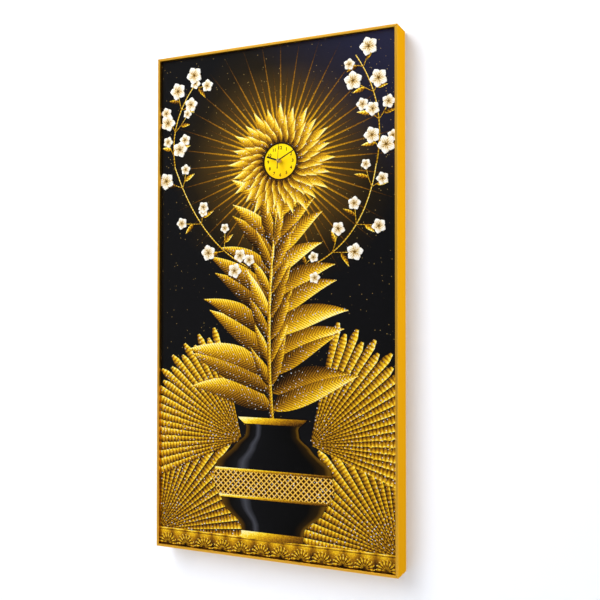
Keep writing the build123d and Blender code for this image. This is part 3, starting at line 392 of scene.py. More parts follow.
def gilded_foil(name, painted_flank_light, painted_length_light, mean_light, along_veins=0.0, out_veins=0.0,
                stops=GOLD_TONES):
    """Stamped foil: satin gold veined and flecked by the die, with painted shade and light, brown
    to pale, across and along each blade.
    """
    fleck_size = 1.8 * MM
    vein_light = 0.3
    vein_mean = 2 / math.pi if along_veins or out_veins else 0.0
    fleck_light = 0.7
    tone_light = 0.34
    material, add = new_finish(name)
    lengths = add("Attribute", attribute_name="leaf_mm").outputs["Vector"]
    shares = add("Attribute", attribute_name="leaf_share").outputs["Vector"]
    tone = add("Attribute", attribute_name="tone").outputs["Fac"]
    measured = add("SeparateXYZ", Vector=lengths).outputs
    shared = add("SeparateXYZ", Vector=shares).outputs
    out = add("Math", measured["Y"], operation="ABSOLUTE")
    run = add("Math", measured["X"], math.pi * along_veins, operation="MULTIPLY")
    phase = add("Math", out, math.pi * out_veins, run, operation="MULTIPLY_ADD")
    wave = add("Math", phase, operation="SINE")
    veins = add("Math", wave, operation="ABSOLUTE")
    place = add("TexCoord").outputs["Object"]
    flecks = add("TexNoise", Vector=place, Scale=1 / fleck_size, Detail=5.0, Roughness=0.65)
    # Painted light: one flank of each blade lighter than the other, and a painted change from root
    # to tip
    start_light = mean_light - vein_light * vein_mean - (painted_length_light + fleck_light + tone_light) / 2
    light = add("Math", shared["Y"], painted_flank_light, start_light, operation="MULTIPLY_ADD")
    for source, weight in ((shared["X"], painted_length_light), (veins, vein_light), (flecks, fleck_light),
                           (tone, tone_light)):
        light = add("Math", source, weight, light, operation="MULTIPLY_ADD")
    tint = add("ValToRGB", Fac=light, stops=stops)
    relief = add("Bump", Height=veins, Strength=0.35, Distance=0.12 * MM)
    return surfaced(material, Base_Color=tint, Metallic=0.2, Roughness=0.45, Specular_IOR_Level=0.1,
                    Normal=relief)


def fix_to_frame(piece):
    """Fixes a finished piece to the frame."""
    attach(piece, "frame")


def on_print(piece):
    """Cuts a piece of the picture off where the frame's nose covers the print, and fixes it."""
    nose_cover = 2.1 * MM
    cut = bmesh.new()
    cut.from_mesh(piece.data)
    for corner, way in ((print_low, -1), (print_high, 1)):
        for axis in (Vector((1, 0, 0)), Vector((0, 0, 1))):
            bmesh.ops.bisect_plane(
                cut, geom=cut.verts[:] + cut.edges[:] + cut.faces[:], clear_outer=True,
                plane_co=corner - axis * way * nose_cover, plane_no=axis * way)
    cut.to_mesh(piece.data)
    cut.free()
    fix_to_frame(piece)


dial_on_print = (dial_centre.x, print_front, dial_centre.z)
ray_count = 72
ray_length = 140
ray_root_half, ray_tip_half = 1.9, 0.1
# Painted shade on one flank of each ray, and the rays darken towards their tips
ray_foil = gilded_foil("stamped_bronze_foil", painted_flank_light=0.1, painted_length_light=-0.6, mean_light=0.4)
sun_rays = blade_ring(
    "sun_rays", ray_foil, straight(ray_length),
    lambda share: (ray_root_half - ray_tip_half) * (1 - share) + ray_tip_half,
    level=0.03, ridge=0.08, columns=2, count=ray_count, step_angle=2 * math.pi / ray_count,
    root_radius=58 * MM, centre=dial_on_print, short_share=0.62, seed=3)
on_print(sun_rays)


# Palm fans of the picture
# Folded fan leaves in bright foil rise from the lower corners and from behind the vase.
# Each pleat is stamped with a sharp ridge, and its colour adds painted light on one flank and
# painted shade on the other.


def pleat_shape(width, tip_end, tip_slope):
    """Half width along a pleat that widens from its root and is cut off at its tip."""
    root_share = 0.1
    return lambda share: (width * (root_share + (1 - root_share) * share)
                          * min(1.0, (tip_end - share) * tip_slope))


# Painted light and shade: one flank of each pleat lighter, the other darker, and paler towards the
# tips
pleat_foil = gilded_foil("stamped_pleated_foil", painted_flank_light=0.3, painted_length_light=0.3, mean_light=0.48,
                         along_veins=0.16)
palm_fans = []
for name, centre_x, centre_z, first, last, count, length, width, level in (
        ("palm_fan_corner_left", -206, -744, 0, 92, 19, 205, 7.6, 0.05),
        ("palm_fan_corner_right", 206, -744, -92, 0, 19, 190, 7.2, 0.05),
        ("palm_fan_left", -52, -588, -112, -16, 21, 178, 6.6, 0.3),
        ("palm_fan_right", 66, -588, 14, 110, 21, 186, 6.8, 0.3)):
    fan = blade_ring(
        name, pleat_foil, straight(length, rows=16), pleat_shape(width, tip_end=1.04, tip_slope=9),
        level, ridge=0.3, columns=2, count=count, first_angle=math.radians(first),
        step_angle=math.radians((last - first) / (count - 1)), root_radius=4 * MM,
        centre=(centre_x * MM, print_front, centre_z * MM), short_share=0.93,
        stagger=0.06 * MM, seed=count)
    on_print(fan)
    palm_fans.append(fan)


# Stem and leaves of the picture
# A curved stem climbs from the vase to the dial with long pointed leaves on both sides.
# Their foil is stamped with slanting veins and a midrib; one side of each leaf is in painted shade,
# and painted light makes the tips paler.


def bend(start, middle, end, rows):
    """Points along a smooth bend from start to end, drawn towards a middle point."""
    points = []
    for row in range(rows + 1):
        share = row / rows
        weights = ((1 - share) ** 2, 2 * share * (1 - share), share ** 2)
        points.append(tuple(
            sum(weight * point[axis] for weight, point in zip(weights, (start, middle, end)))
            for axis in range(2)))
    return points


def step_from(place, angle, length):
    """Point a length away from a place in x and z, at an angle in degrees from upright."""
    turn = math.radians(angle)
    return (place[0] + length * math.sin(turn), place[1] + length * math.cos(turn))


leaf_rows = 26


def leaf_line(root, angle, length, droop):
    """Bent midrib of a leaf that leaves its root at an angle and droops towards its tip."""
    middle = step_from(root, angle, 0.5 * length)
    return bend(root, middle, step_from(middle, angle + droop, 0.5 * length), leaf_rows)


def leaf_shape(width):
    """Half width along a pointed leaf, broadest before its middle."""
    point_share, forwardness, fullness = 0.02, 0.72, 0.9
    return lambda share: width * max(
        point_share, math.sin(math.pi * share ** forwardness)) ** fullness


# Painted shade on one side of each leaf and at its root, with painted light towards the tip
leaf_foil = gilded_foil("stamped_veined_foil", painted_flank_light=0.3, painted_length_light=0.4, mean_light=0.52,
                        along_veins=0.2, out_veins=-0.2)
stem_line = bend((2, -556), (-14, -380), (16, -196), rows=40)
leaf_sheet = new_sheet()
draw = random.Random(11)
leaf_level = 0.65
leaf_level_step = 0.012
leaf_ridge = 0.3
leaf_pairs = 11
lowest_row, rows_up = 2, 33
lowest_length, length_loss = 158, 62
lowest_spread, spread_loss = 58, 22
leaf_slimness = 0.125
for pair in range(leaf_pairs):
    height = pair / (leaf_pairs - 1)
    root = stem_line[int(lowest_row + rows_up * height)]
    for side in (-1, 1):
        length = (lowest_length - length_loss * height) * draw.uniform(0.9, 1.08)
        angle = side * (lowest_spread - spread_loss * height + draw.uniform(-7, 7))
        line = leaf_line(root, angle, length, side * draw.uniform(14, 40))
        lay_blade(leaf_sheet, line, leaf_shape(length * leaf_slimness), leaf_level, leaf_ridge,
                  draw.random())
        leaf_level += leaf_level_step
young_pairs = 7
young_row, young_row_step = 6, 4
young_slimness = 0.11
for pair in range(young_pairs):
    root = stem_line[young_row + young_row_step * pair]
    for side in (-1, 1):
        length = draw.uniform(66, 92)
        line = leaf_line(root, side * draw.uniform(12, 30), length, side * draw.uniform(-6, 16))
        lay_blade(leaf_sheet, line, leaf_shape(length * young_slimness), leaf_level, leaf_ridge,
                  draw.random())
        leaf_level += leaf_level_step
stem_half, stem_taper = 3.4, 1.6
lay_blade(leaf_sheet, stem_line, lambda share: stem_half - stem_taper * share, leaf_level,
          leaf_ridge, tone=0.9)
bouquet_leaves = foil_piece("bouquet_leaves", leaf_sheet, leaf_foil)
on_print(bouquet_leaves)


# Flower round the dial
# Three rings of pointed petals in the brightest foil surround the dial's black ring.
# Each row is stamped over the one behind it, and every petal has fine lines along it.


def petal_shape(width):
    """Half width along a petal that is broad at its root and pointed at its tip."""
    root_cut, point_share = 0.2, 0.02
    return lambda share: width * max(
        point_share, math.sin(math.pi * (root_cut + (1 - root_cut) * share)))


# Painted shade at each petal's root and on one side, with painted light towards the tip
petal_foil = gilded_foil("stamped_petal_foil", painted_flank_light=0.24, painted_length_light=0.8, mean_light=0.56,
                         out_veins=0.5)
petal_count = 24
petal_step = 2 * math.pi / petal_count
flower_rows = []
for name, length, width, level, turn_share in (("petals_outer", 62, 7.4, 1.35, 0.0),
                                               ("petals_middle", 42, 5.6, 1.6, 0.5),
                                               ("petals_inner", 22, 3.9, 1.85, 0.0)):
    row = blade_ring(
        name, petal_foil, straight(length, rows=14), petal_shape(width), level, ridge=0.25,
        columns=6, count=petal_count, first_angle=turn_share * petal_step, step_angle=petal_step,
        root_radius=29.6 * MM, centre=dial_on_print, short_share=0.9, stagger=0.05 * MM, seed=5)
    on_print(row)
    flower_rows.append(row)


# Vase of the picture
# A wide black vase, printed with a painted reflection of a window, stands on a gold shelf at the
# picture's foot.
# Its lip, foot and the patterned band round its body are stamped in foil.


def lacquer_print():
    """Printed black lacquer: a painted cool reflection down the left, painted warm reflections at
    the edges, under the same satin film.
    """
    mottle_size = 18 * MM
    mottle_share = 0.03
    material, add = new_finish("printed_black_lacquer")
    shares = add("Attribute", attribute_name="leaf_share").outputs["Vector"]
    shared = add("SeparateXYZ", Vector=shares).outputs
    place = add("TexCoord").outputs["Object"]
    mottle = add("TexNoise", Vector=place, Scale=1 / mottle_size, Detail=3.0)
    across = add("MapRange", Value=shared["Y"], From_Min=-1.0)
    uneven = add("Math", mottle, mottle_share, across, operation="MULTIPLY_ADD")
    # Painted reflections across the vase: warm at both edges, a cool grey gleam down the left
    tint = add("ValToRGB", Fac=uneven, stops=((0.03, "#4A320A"), (0.1, "#0C0A08"), (0.2, "#121214"),
                                              (0.25, "#3E3F46"), (0.32, "#0E0E10"),
                                              (0.86, "#070707"), (0.96, "#241806"),
                                              (1.0, "#5C400E")))
    return surfaced(material, Base_Color=tint, Roughness=0.3, Specular_IOR_Level=0.05)


def chased_foil():
    """Stamped band: gold foil in crossing ribs that leave dark lozenges between them."""
    lozenge_mm = 9.0
    fleck_size = 2.5 * MM
    fleck_light = 0.3
    material, add = new_finish("stamped_lozenge_foil")
    lengths = add("Attribute", attribute_name="leaf_mm").outputs["Vector"]
    measured = add("SeparateXYZ", Vector=lengths).outputs
    waves = []
    for way in (1, -1):
        run = add("Math", measured["X"], way, measured["Y"], operation="MULTIPLY_ADD")
        phase = add("Math", run, math.pi / lozenge_mm, operation="MULTIPLY")
        wave = add("Math", phase, operation="SINE")
        waves.append(add("Math", wave, operation="ABSOLUTE"))
    ribs = add("Math", waves[0], waves[1], operation="MINIMUM")
    place = add("TexCoord").outputs["Object"]
    flecks = add("TexNoise", Vector=place, Scale=1 / fleck_size, Detail=4.0)
    light = add("Math", flecks, fleck_light, ribs, operation="MULTIPLY_ADD")
    tint = add("ValToRGB", Fac=light, stops=((0.1, "#FFEFA8"), (0.3, "#F2BE2C"), (0.55, "#B67C10"),
                                             (0.8, "#4A2E06"), (1.0, "#2A1804")))
    relief = add("Bump", Height=ribs, Strength=0.4, Distance=0.3 * MM, invert=True)
    return surfaced(material, Base_Color=tint, Metallic=0.2, Roughness=0.45, Specular_IOR_Level=0.1,
                    Normal=relief)


VASE_PROFILE = ((-742, 62), (-735, 52), (-720, 54), (-690, 86), (-655, 104), (-625, 98),
                (-598, 66), (-580, 46), (-566, 44), (-552, 58))


def vase_half(height):
    """Half width of the vase at a height, eased between the points of its profile."""
    for (low, narrow), (high, wide) in zip(VASE_PROFILE, VASE_PROFILE[1:]):
        if height <= high:
            share = (height - low) / (high - low)
            eased = (1 - math.cos(math.pi * share)) / 2
            return narrow + (wide - narrow) * (0.5 * share + 0.5 * eased)
    return VASE_PROFILE[-1][1]


def vase_strip(sheet, low, high, rows, level, proud=0.0):
    """Strip of the vase between two heights, as wide as the vase there."""
    vase_axis = 2.0
    line = [(vase_axis, low + (high - low) * row / rows) for row in range(rows + 1)]
    lay_blade(sheet, line, lambda share: vase_half(low + (high - low) * share) + proud, level,
              ridge=0.3, columns=12)


vase_foot, vase_lip = VASE_PROFILE[0][0], VASE_PROFILE[-1][0]
vase_sheet = new_sheet()
vase_strip(vase_sheet, vase_foot, vase_lip, rows=48, level=1.45)
vase_body = foil_piece("vase_body", vase_sheet, lacquer_print())
on_print(vase_body)
band_sheet = new_sheet()
vase_strip(band_sheet, -676, -636, rows=10, level=1.8)
vase_band = foil_piece("vase_band", band_sheet, chased_foil())
on_print(vase_band)
rim_sheet = new_sheet()
for low, high in ((vase_foot, -729), (-679, -675), (-637, -633), (-562, vase_lip)):
    vase_strip(rim_sheet, low, high, rows=4, level=1.85, proud=0.6)
# Painted light on the left of each rim and towards its top, painted shade on its right
rim_foil = gilded_foil("stamped_rim_foil", painted_flank_light=-0.34, painted_length_light=0.3, mean_light=0.6)
vase_rims = foil_piece("vase_rims", rim_sheet, rim_foil)
on_print(vase_rims)


# Shelf of the picture
# A gold shelf runs across the foot, with a row of stamped shells along its edge.
# The shells are small fans of the same pleats, set side by side.


def in_a_row():
    """Tree that sets copies of one piece side by side along x."""
    tree, add, given = start_tree("pieces_in_a_row", (
        ("Piece", "Object"), ("Count", "Int"), ("First", "Vector"), ("Step", "Float")))
    index = add("GeometryNodeInputIndex")
    along = add("Math", index, given["Step"], operation="MULTIPLY")
    shift = add("CombineXYZ", X=along)
    place = add("VectorMath", given["First"], shift, operation="ADD")
    points = add("GeometryNodePoints", Count=given["Count"], Position=place)
    piece = add("GeometryNodeObjectInfo", Object=given["Piece"]).outputs["Geometry"]
    copies = add("GeometryNodeInstanceOnPoints", Points=points, Instance=piece)
    return finish_tree(tree, copies, given)


row_of_pieces = in_a_row()
# Painted light along the shelf's top edge and painted shade along its foot
shelf_foil = gilded_foil("stamped_shelf_foil", painted_flank_light=-0.3, painted_length_light=0.0, mean_light=0.42,
                         along_veins=0.04)
shelf_sheet = new_sheet()
shelf_end, shelf_step, shelf_rows = -204, 8, 52
for height, half_width, level, tone, columns in ((-754, 12.0, 1.45, 0.4, 4),
                                                 (-741, 1.6, 1.9, 0.9, 2)):
    line = [(shelf_end + shelf_step * row, height) for row in range(shelf_rows)]
    lay_blade(shelf_sheet, line, lambda share: half_width, level, ridge=0.2, tone=tone,
              columns=columns)
shelf = foil_piece("shelf", shelf_sheet, shelf_foil)
on_print(shelf)
shell_pleats = 9
shell = blade_ring(
    "shell", pleat_foil, straight(length=15, rows=6),
    pleat_shape(width=2.5, tip_end=1.05, tip_slope=6), level=1.7, ridge=0.3, columns=2,
    count=shell_pleats, first_angle=-math.pi / 2, step_angle=math.pi / (shell_pleats - 1),
    root_radius=1.5 * MM, short_share=1.0, seed=2)
shelf_shells = grow(
    "shelf_shells", row_of_pieces, piece=shell, count=12, step=34 * MM, seed=8, finish=pleat_foil,
    first=(-187 * MM, print_front, -763 * MM))
bpy.data.objects.remove(shell)
on_print(shelf_shells)


# Blossom twigs of the picture
# Thin gold twigs reach into both upper corners, set with five petalled blossoms and small leaves.
# The blossoms are stamped in pearl foil, ivory with a warm throat.


def on_points():
    """Tree that sets copies of one piece on the points of a mesh, turned and sized by chance."""
    tree, add, given = start_tree("pieces_on_points", (
        ("Geometry", "Geometry"), ("Piece", "Object"), ("Smallest", "Float"), ("Largest", "Float")))
    turn = add("FunctionNodeRandomValue", Min=0.0, Max=2 * math.pi, Seed=given["Seed"],
               data_type="FLOAT")
    turned = add("CombineXYZ", Y=turn)
    heading = add("FunctionNodeEulerToRotation", Euler=turned)
    size = add("FunctionNodeRandomValue", Min=given["Smallest"], Max=given["Largest"],
               Seed=given["Seed"], data_type="FLOAT")
    piece = add("GeometryNodeObjectInfo", Object=given["Piece"]).outputs["Geometry"]
    copies = add("GeometryNodeInstanceOnPoints", Points=given["Geometry"], Instance=piece,
                 Rotation=heading, Scale=size)
    return finish_tree(tree, copies, given)


PEARL_TONES = ((0.0, "#4A3008"), (0.22, "#A87C22"), (0.42, "#D9C08A"), (0.64, "#E9E0CC"),
               (0.9, "#F6F4EE"))
# Painted shade at the root and on one side of each petal, which also gives the warm throat, with
# painted light towards the tips
pearl_foil = gilded_foil("stamped_pearl_foil", painted_flank_light=0.12, painted_length_light=0.9, mean_light=0.58,
                         out_veins=0.5, stops=PEARL_TONES)
twig_sheet = new_sheet()
twig_rows = 24
twig_level, twig_leaf_level = 0.5, 0.55
twig_half, twig_taper = 1.1, 0.4
spur_half, spur_taper = 0.7, 0.3
twig_leaf_half = 3.4
forks, first_fork, fork_step = 4, 3, 6
second_blossom_chance, blossom_drift = 0.4, 6
blossom_points = []
for start, middle, end in (((-6, -330), (-120, -300), (-176, -150)),
                           ((-176, -150), (-190, -70), (-128, -8)),
                           ((20, -330), (150, -310), (172, -170)),
                           ((172, -170), (190, -80), (140, -6))):
    line = bend(start, middle, end, twig_rows)
    lay_blade(twig_sheet, line, lambda share: twig_half - twig_taper * share, twig_level,
              ridge=0.3, tone=0.8, columns=2)
    for fork in range(forks):
        root, beyond = line[first_fork + fork_step * fork:][:2]
        heading = math.degrees(math.atan2(beyond[0] - root[0], beyond[1] - root[1]))
        for side in (-1, 1):
            length = draw.uniform(20, 38)
            angle = heading + side * draw.uniform(30, 60)
            spur = leaf_line(root, angle, length, side * draw.uniform(-25, 10))
            lay_blade(twig_sheet, spur, lambda share: spur_half - spur_taper * share, twig_level,
                      ridge=0.2, tone=0.7, columns=2)
            blossom_points.append(spur[-1])
            if draw.random() < second_blossom_chance:
                blossom_points.append([place + draw.uniform(-blossom_drift, blossom_drift)
                                       for place in spur[leaf_rows // 2]])
            angle = heading + side * draw.uniform(60, 100)
            leaf = leaf_line(spur[leaf_rows * 2 // 5], angle, draw.uniform(16, 26), side * 10)
            lay_blade(twig_sheet, leaf, leaf_shape(twig_leaf_half), twig_leaf_level, ridge=0.3,
                      tone=draw.random(), columns=4)
twigs = foil_piece("twigs", twig_sheet, leaf_foil)
on_print(twigs)
blossom_petals = 5
petal_half, petal_point, petal_lateness = 4.1, 0.03, 1.25
blossom = blade_ring(
    "blossom", pearl_foil, straight(length=9.5, rows=8),
    lambda share: petal_half * max(petal_point, math.sin(math.pi * share ** petal_lateness)),
    level=1.4, ridge=0.3, columns=6, count=blossom_petals, root_radius=0.4 * MM,
    step_angle=2 * math.pi / blossom_petals, short_share=1.0, seed=1)
blossom_places = bpy.data.meshes.new("blossom_places")
blossom_places.from_pydata([(MM * x, print_front, MM * z) for x, z in blossom_points], [], [])
blossoms = grow("blossoms", on_points(), blossom_places, piece=blossom, smallest=0.75,
                largest=1.5, seed=6, finish=pearl_foil)
bpy.data.objects.remove(blossom)
on_print(blossoms)


# Cut stones on the picture
# Small faceted glass stones with foil backs are glued over the gold leaves, fans, petals and bands.
# Each lies at its own slight tilt, so that some of them flash whatever the light; each facet also
# has a painted reflection in a grey of its own.


def stones_on_foil():
    """Tree that spreads stones over a surface, apart, each turned, tilted and sized by chance."""
    cluster_size = 16 * MM
    least_facing = 0.7
    tree, add, given = start_tree("stones_on_foil", (
        ("Geometry", "Geometry"), ("Stone", "Object"), ("Spacing", "Float"), ("Density", "Float"),
        ("Smallest", "Float"), ("Largest", "Float"), ("Tilt", "Float")))
    drift = add("TexNoise", Scale=1 / cluster_size, Detail=2.0)
    crowd = add("MapRange", Value=drift, From_Min=0.36, From_Max=0.62)
    normal = add("GeometryNodeInputNormal")
    facing = add("SeparateXYZ", Vector=normal).outputs["Y"]
    front = add("Math", facing, -least_facing, operation="LESS_THAN")
    spots = add("GeometryNodeDistributePointsOnFaces", Mesh=given["Geometry"], Selection=front,
                Distance_Min=given["Spacing"], Density_Max=given["Density"], Density_Factor=crowd,
                Seed=given["Seed"], distribute_method="POISSON")
    tilt = given["Tilt"]
    against = add("Math", tilt, -1.0, operation="MULTIPLY")
    lowest = add("CombineXYZ", X=against, Y=-math.pi, Z=against)
    highest = add("CombineXYZ", X=tilt, Y=math.pi, Z=tilt)
    turned = add("FunctionNodeRandomValue", Min=lowest, Max=highest, Seed=given["Seed"],
                 data_type="FLOAT_VECTOR")
    heading = add("FunctionNodeEulerToRotation", Euler=turned)
    size = add("FunctionNodeRandomValue", Min=given["Smallest"], Max=given["Largest"],
               Seed=given["Seed"], data_type="FLOAT")
    stone = add("GeometryNodeObjectInfo", Object=given["Stone"]).outputs["Geometry"]
    copies = add("GeometryNodeInstanceOnPoints", Points=spots, Instance=stone, Rotation=heading,
                 Scale=size)
    return finish_tree(tree, copies, given)


def foil_backed_glass():
    """Foil backed glass: hard bright facets, each with a painted reflection in its own grey, some
    warm or icy.
    """
    material, add = new_finish("foil_backed_cut_glass")
    tone = add("Attribute", attribute_name="tone").outputs["Fac"]
    tint = add("ValToRGB", Fac=tone, stops=((0.0, "#FFE9A0"), (0.35, "#FFFBEA"), (0.75, "#FFFFFF"),
                                            (1.0, "#DCE9FF")))
    facet = add("Attribute", attribute_name="facet").outputs["Fac"]
    # Painted reflection: each facet's own grey, from dark to white
    painted_reflection = add("ValToRGB", Fac=facet, stops=((0.0, "#59606E"), (0.5, "#C9CED8"),
                                               (1.0, "#FFFFFF")))
    colour = add("Mix", Factor=1.0, A=tint, B=painted_reflection, data_type="RGBA", blend_type="MULTIPLY")
    return surfaced(material, Base_Color=colour, Roughness=0.08, IOR=1.6)


def stone_mesh():
    """Round stone of 1 mm radius: flat back, upright girdle, twelve crown facets and a table."""
    corners = 6
    points = []
    for radius, depth, twist in ((1.0, 0.0, 0.0), (1.0, -0.25, 0.0), (0.56, -0.6, 0.5)):
        for corner in range(corners):
            turn = 2 * math.pi * (corner + twist) / corners
            points.append((MM * radius * math.sin(turn), MM * depth, MM * radius * math.cos(turn)))
    faces = [tuple(range(corners)), tuple(range(3 * corners - 1, 2 * corners - 1, -1))]
    # Painted light of each face: back and table, then each corner's girdle and two crown facets
    facets = [0.0, 1.0]
    for corner in range(corners):
        after = (corner + 1) % corners
        faces += [(corners + corner, corners + after, after, corner),
                  (2 * corners + corner, corners + after, corners + corner),
                  (2 * corners + corner, 2 * corners + after, corners + after)]
        facets += [0.3, 0.9 if corner % 2 else 0.45, 0.7 if corner % 3 else 0.15]
    mesh = bpy.data.meshes.new("stone")
    mesh.from_pydata(points, [], faces)
    mesh.attributes.new("facet", "FLOAT", "FACE").data.foreach_set("value", facets)
    return mesh


def joined(name, meshes):
    """One mesh from several."""
    whole = bmesh.new()
    for mesh in meshes:
        whole.from_mesh(mesh)
    result = bpy.data.meshes.new(name)
    whole.to_mesh(result)
    whole.free()
    return result


stone = place_object("stone", stone_mesh())
glass = foil_backed_glass()
stone_tree = stones_on_foil()
for name, carriers, spacing, seed in (("stones_on_leaves", [bouquet_leaves], 4.2, 21),
                                      ("stones_on_fans", palm_fans, 4.4, 22),
                                      ("stones_on_flower", flower_rows[:1], 4.6, 23),
                                      ("stones_on_vase", [vase_band], 3.4, 24)):
    carrier = joined(name, [piece.data for piece in carriers])
    stones = grow(name, stone_tree, carrier, stone=stone, spacing=spacing * MM, density=60000.0,
                  smallest=0.4, largest=1.05, tilt=math.radians(24), seed=seed, finish=glass)
    fix_to_frame(stones)
bpy.data.objects.remove(stone)


# Backing board
# Hardboard pressed from wood fibre, cut to the rebate, with the wire screen's weave on its back.
# Bowed spring clips behind it push it and the print forward against the frame's nose.


def pressed_hardboard():
    """Hardboard: brown matt fibres, darker and paler, and the print of a wire screen."""
    fibre_size = 1.1 * MM
    patch_size = 45 * MM
    # The screen's real pitch is about 1.4 mm; it is drawn coarser so that it shows
    screen_pitch = 3.2 * MM
    weave_tint = 0.09
    fibre_relief = 0.8
    material, add = new_finish("pressed_hardboard")
    place = add("TexCoord").outputs["Object"]
    stretched = add("Mapping", Vector=place, Rotation=(0, 0.5, 0), Scale=(1, 1, 0.3))
    fibres = add("TexNoise", Vector=stretched, Scale=1 / fibre_size, Detail=6.0, Roughness=0.7)
    patches = add("TexNoise", Vector=place, Scale=1 / patch_size, Detail=3.0)
    grid = add("Mapping", Vector=place, Scale=(2 * math.pi / screen_pitch,) * 3)
    axes = add("SeparateXYZ", Vector=grid).outputs
    warp = add("Math", axes["X"], operation="SINE")
    weft = add("Math", axes["Z"], operation="SINE")
    weave = add("Math", warp, weft, operation="MULTIPLY")
    worn = add("Math", weave, weave_tint, fibres, operation="MULTIPLY_ADD")
    tint = add("ValToRGB", Fac=worn, stops=((0.3, "#6A4A2C"), (0.5, "#83603C"), (0.72, "#9C7850")))
    shade = add("MapRange", Value=patches, From_Min=0.3, From_Max=0.7, To_Min=0.0, To_Max=0.35)
    colour = add("Mix", Factor=shade, A=tint, B=linear("#6A4A2C"), data_type="RGBA")
    height = add("Math", fibres, fibre_relief, weave, operation="MULTIPLY_ADD")
    relief = add("Bump", Height=height, Strength=0.7, Distance=0.3 * MM)
    return surfaced(material, Base_Color=colour, Roughness=0.86, Specular_IOR_Level=0.25,
                    Normal=relief)


finish_nodes(pressed_hardboard(), "picture_board")
finish_nodes(plated_steel("tempered_spring_steel", "#5E6167", "#9A9CA3",
                          cloud_size=9 * MM, roughness=0.28), "spring_clips")


# Keyhole hangers and wall pads
# Two bent zinc plated brackets, each held under the top rail by a blackened screw and channel nut.
# Two punched discs of soft rubber stick to the foot of the back and stand the clock off the wall.

finish_nodes(zinc_plate, "hanger_bracket_left", "hanger_bracket_right")
finish_nodes(black_steel, "hanger_screws")


def soft_rubber():
    """Black rubber: matt and greyish, with a fine pitted skin from the mould."""
    pit_size = 0.5 * MM
    material, add = new_finish("moulded_rubber")
    place = add("TexCoord").outputs["Object"]
    pits = add("TexNoise", Vector=place, Scale=1 / pit_size, Detail=3.0)
    tint = add("ValToRGB", Fac=pits, stops=((0.3, "#17171A"), (0.7, "#2B2B2E")))
    relief = add("Bump", Height=pits, Strength=0.4, Distance=0.08 * MM)
    return surfaced(material, Base_Color=tint, Roughness=0.78, Specular_IOR_Level=0.3,
                    Normal=relief)


finish_nodes(soft_rubber(), "wall_bumpers", "rubber_washer")


# Dial ring and dial
# A moulded black ring is glued to the print, and inside it lies a thin plastic disc printed yellow.
# The disc is warmer towards its foot and carries twelve printed numerals.


def moulded_plastic(name, dark, light, grain_size, roughness, grain_depth, sheen=0.5):
    """Injection moulded plastic: even colour, a fine sparked grain from the tool, a dull gloss."""
    flow_size = 30 * grain_size
    polish_range = 0.08
    material, add = new_finish(name)
    place = add("TexCoord").outputs["Object"]
    grain = add("TexNoise", Vector=place, Scale=1 / grain_size, Detail=3.0)
    flow = add("TexNoise", Vector=place, Scale=1 / flow_size, Detail=2.0)
    tint = add("ValToRGB", Fac=flow, stops=((0.35, dark), (0.65, light)))
    polish = add("MapRange", Value=grain, To_Min=roughness - polish_range,
                 To_Max=roughness + polish_range)
    relief = add("Bump", Height=grain, Strength=0.3, Distance=grain_depth)
    return surfaced(material, Base_Color=tint, Roughness=polish, Specular_IOR_Level=sheen,
                    Normal=relief)


ring_plastic = moulded_plastic("moulded_black_ring", "#160A02", "#241204", grain_size=0.4 * MM,
                               roughness=0.5, grain_depth=0.02 * MM, sheen=0.15)
finish_nodes(ring_plastic, "dial_bezel")


def printed_yellow_disc():
    """Yellow printed plastic: clean satin colour, a little more orange towards the foot."""
    blotch_size = 14 * MM
    blotch_share = 0.3
    peel_size = 0.8 * MM
    material, add = new_finish("printed_yellow_disc")
    place = add("TexCoord").outputs["Object"]
    axes = add("SeparateXYZ", Vector=place).outputs
    rise = add("MapRange", Value=axes["Z"], From_Min=dial_low.z, From_Max=dial_high.z)
    blotch = add("TexNoise", Vector=place, Scale=1 / blotch_size, Detail=2.0)
    uneven = add("Math", blotch, blotch_share, rise, operation="MULTIPLY_ADD")
    tint = add("ValToRGB", Fac=uneven, stops=((0.15, "#FCC004"), (0.55, "#FFD404"),
                                              (0.95, "#FEDC08")))
    peel = add("TexNoise", Vector=place, Scale=1 / peel_size, Detail=2.0)
    relief = add("Bump", Height=peel, Strength=0.15, Distance=0.03 * MM)
    return surfaced(material, Base_Color=tint, Roughness=0.5, Specular_IOR_Level=0.12,
                    Normal=relief)


finish_nodes(printed_yellow_disc(), "dial_disc")


# Dial numerals
# The twelve hours in a plain upright letter, screen printed on the disc in dark brown ink.
# The ink lies a few hundredths of a millimetre proud and dries matt.


def screen_ink():
    """Screen ink: nearly black brown, matt, slightly thin where the mesh held it back."""
    patch_size = 0.7 * MM
    material, add = new_finish("screen_printed_ink")
    place = add("TexCoord").outputs["Object"]
    thin = add("TexNoise", Vector=place, Scale=1 / patch_size, Detail=2.0)
    tint = add("ValToRGB", Fac=thin, stops=((0.3, "#140C01"), (0.75, "#2E2004")))
    return surfaced(material, Base_Color=tint, Roughness=0.7, Specular_IOR_Level=0.15)


def numeral_mesh(body, height, centre, front, thickness):
    """Raised upright numeral, centred on a place of the dial."""
    text = bpy.data.curves.new("numeral", "FONT")
    text.body = body
    text.size = 1.0
    text.extrude = 0.5
    text.offset = 0.032
    text.resolution_u = 6
    holder = place_object("numeral", text)
    bpy.context.view_layer.update()
    mesh = bpy.data.meshes.new_from_object(holder)
    bpy.data.objects.remove(holder)
    lows = [min(vertex.co[axis] for vertex in mesh.vertices) for axis in range(2)]
    highs = [max(vertex.co[axis] for vertex in mesh.vertices) for axis in range(2)]
    scale = height / (highs[1] - lows[1])
    middle = Matrix.Translation((-(lows[0] + highs[0]) / 2, -(lows[1] + highs[1]) / 2, 0))
    sized = Matrix.Diagonal((scale, scale, thickness, 1))
    upright = Matrix.Rotation(math.pi / 2, 4, "X")
    placed = Matrix.Translation((centre[0], front - thickness / 2, centre[1]))
    mesh.transform(placed @ upright @ sized @ middle)
    return mesh


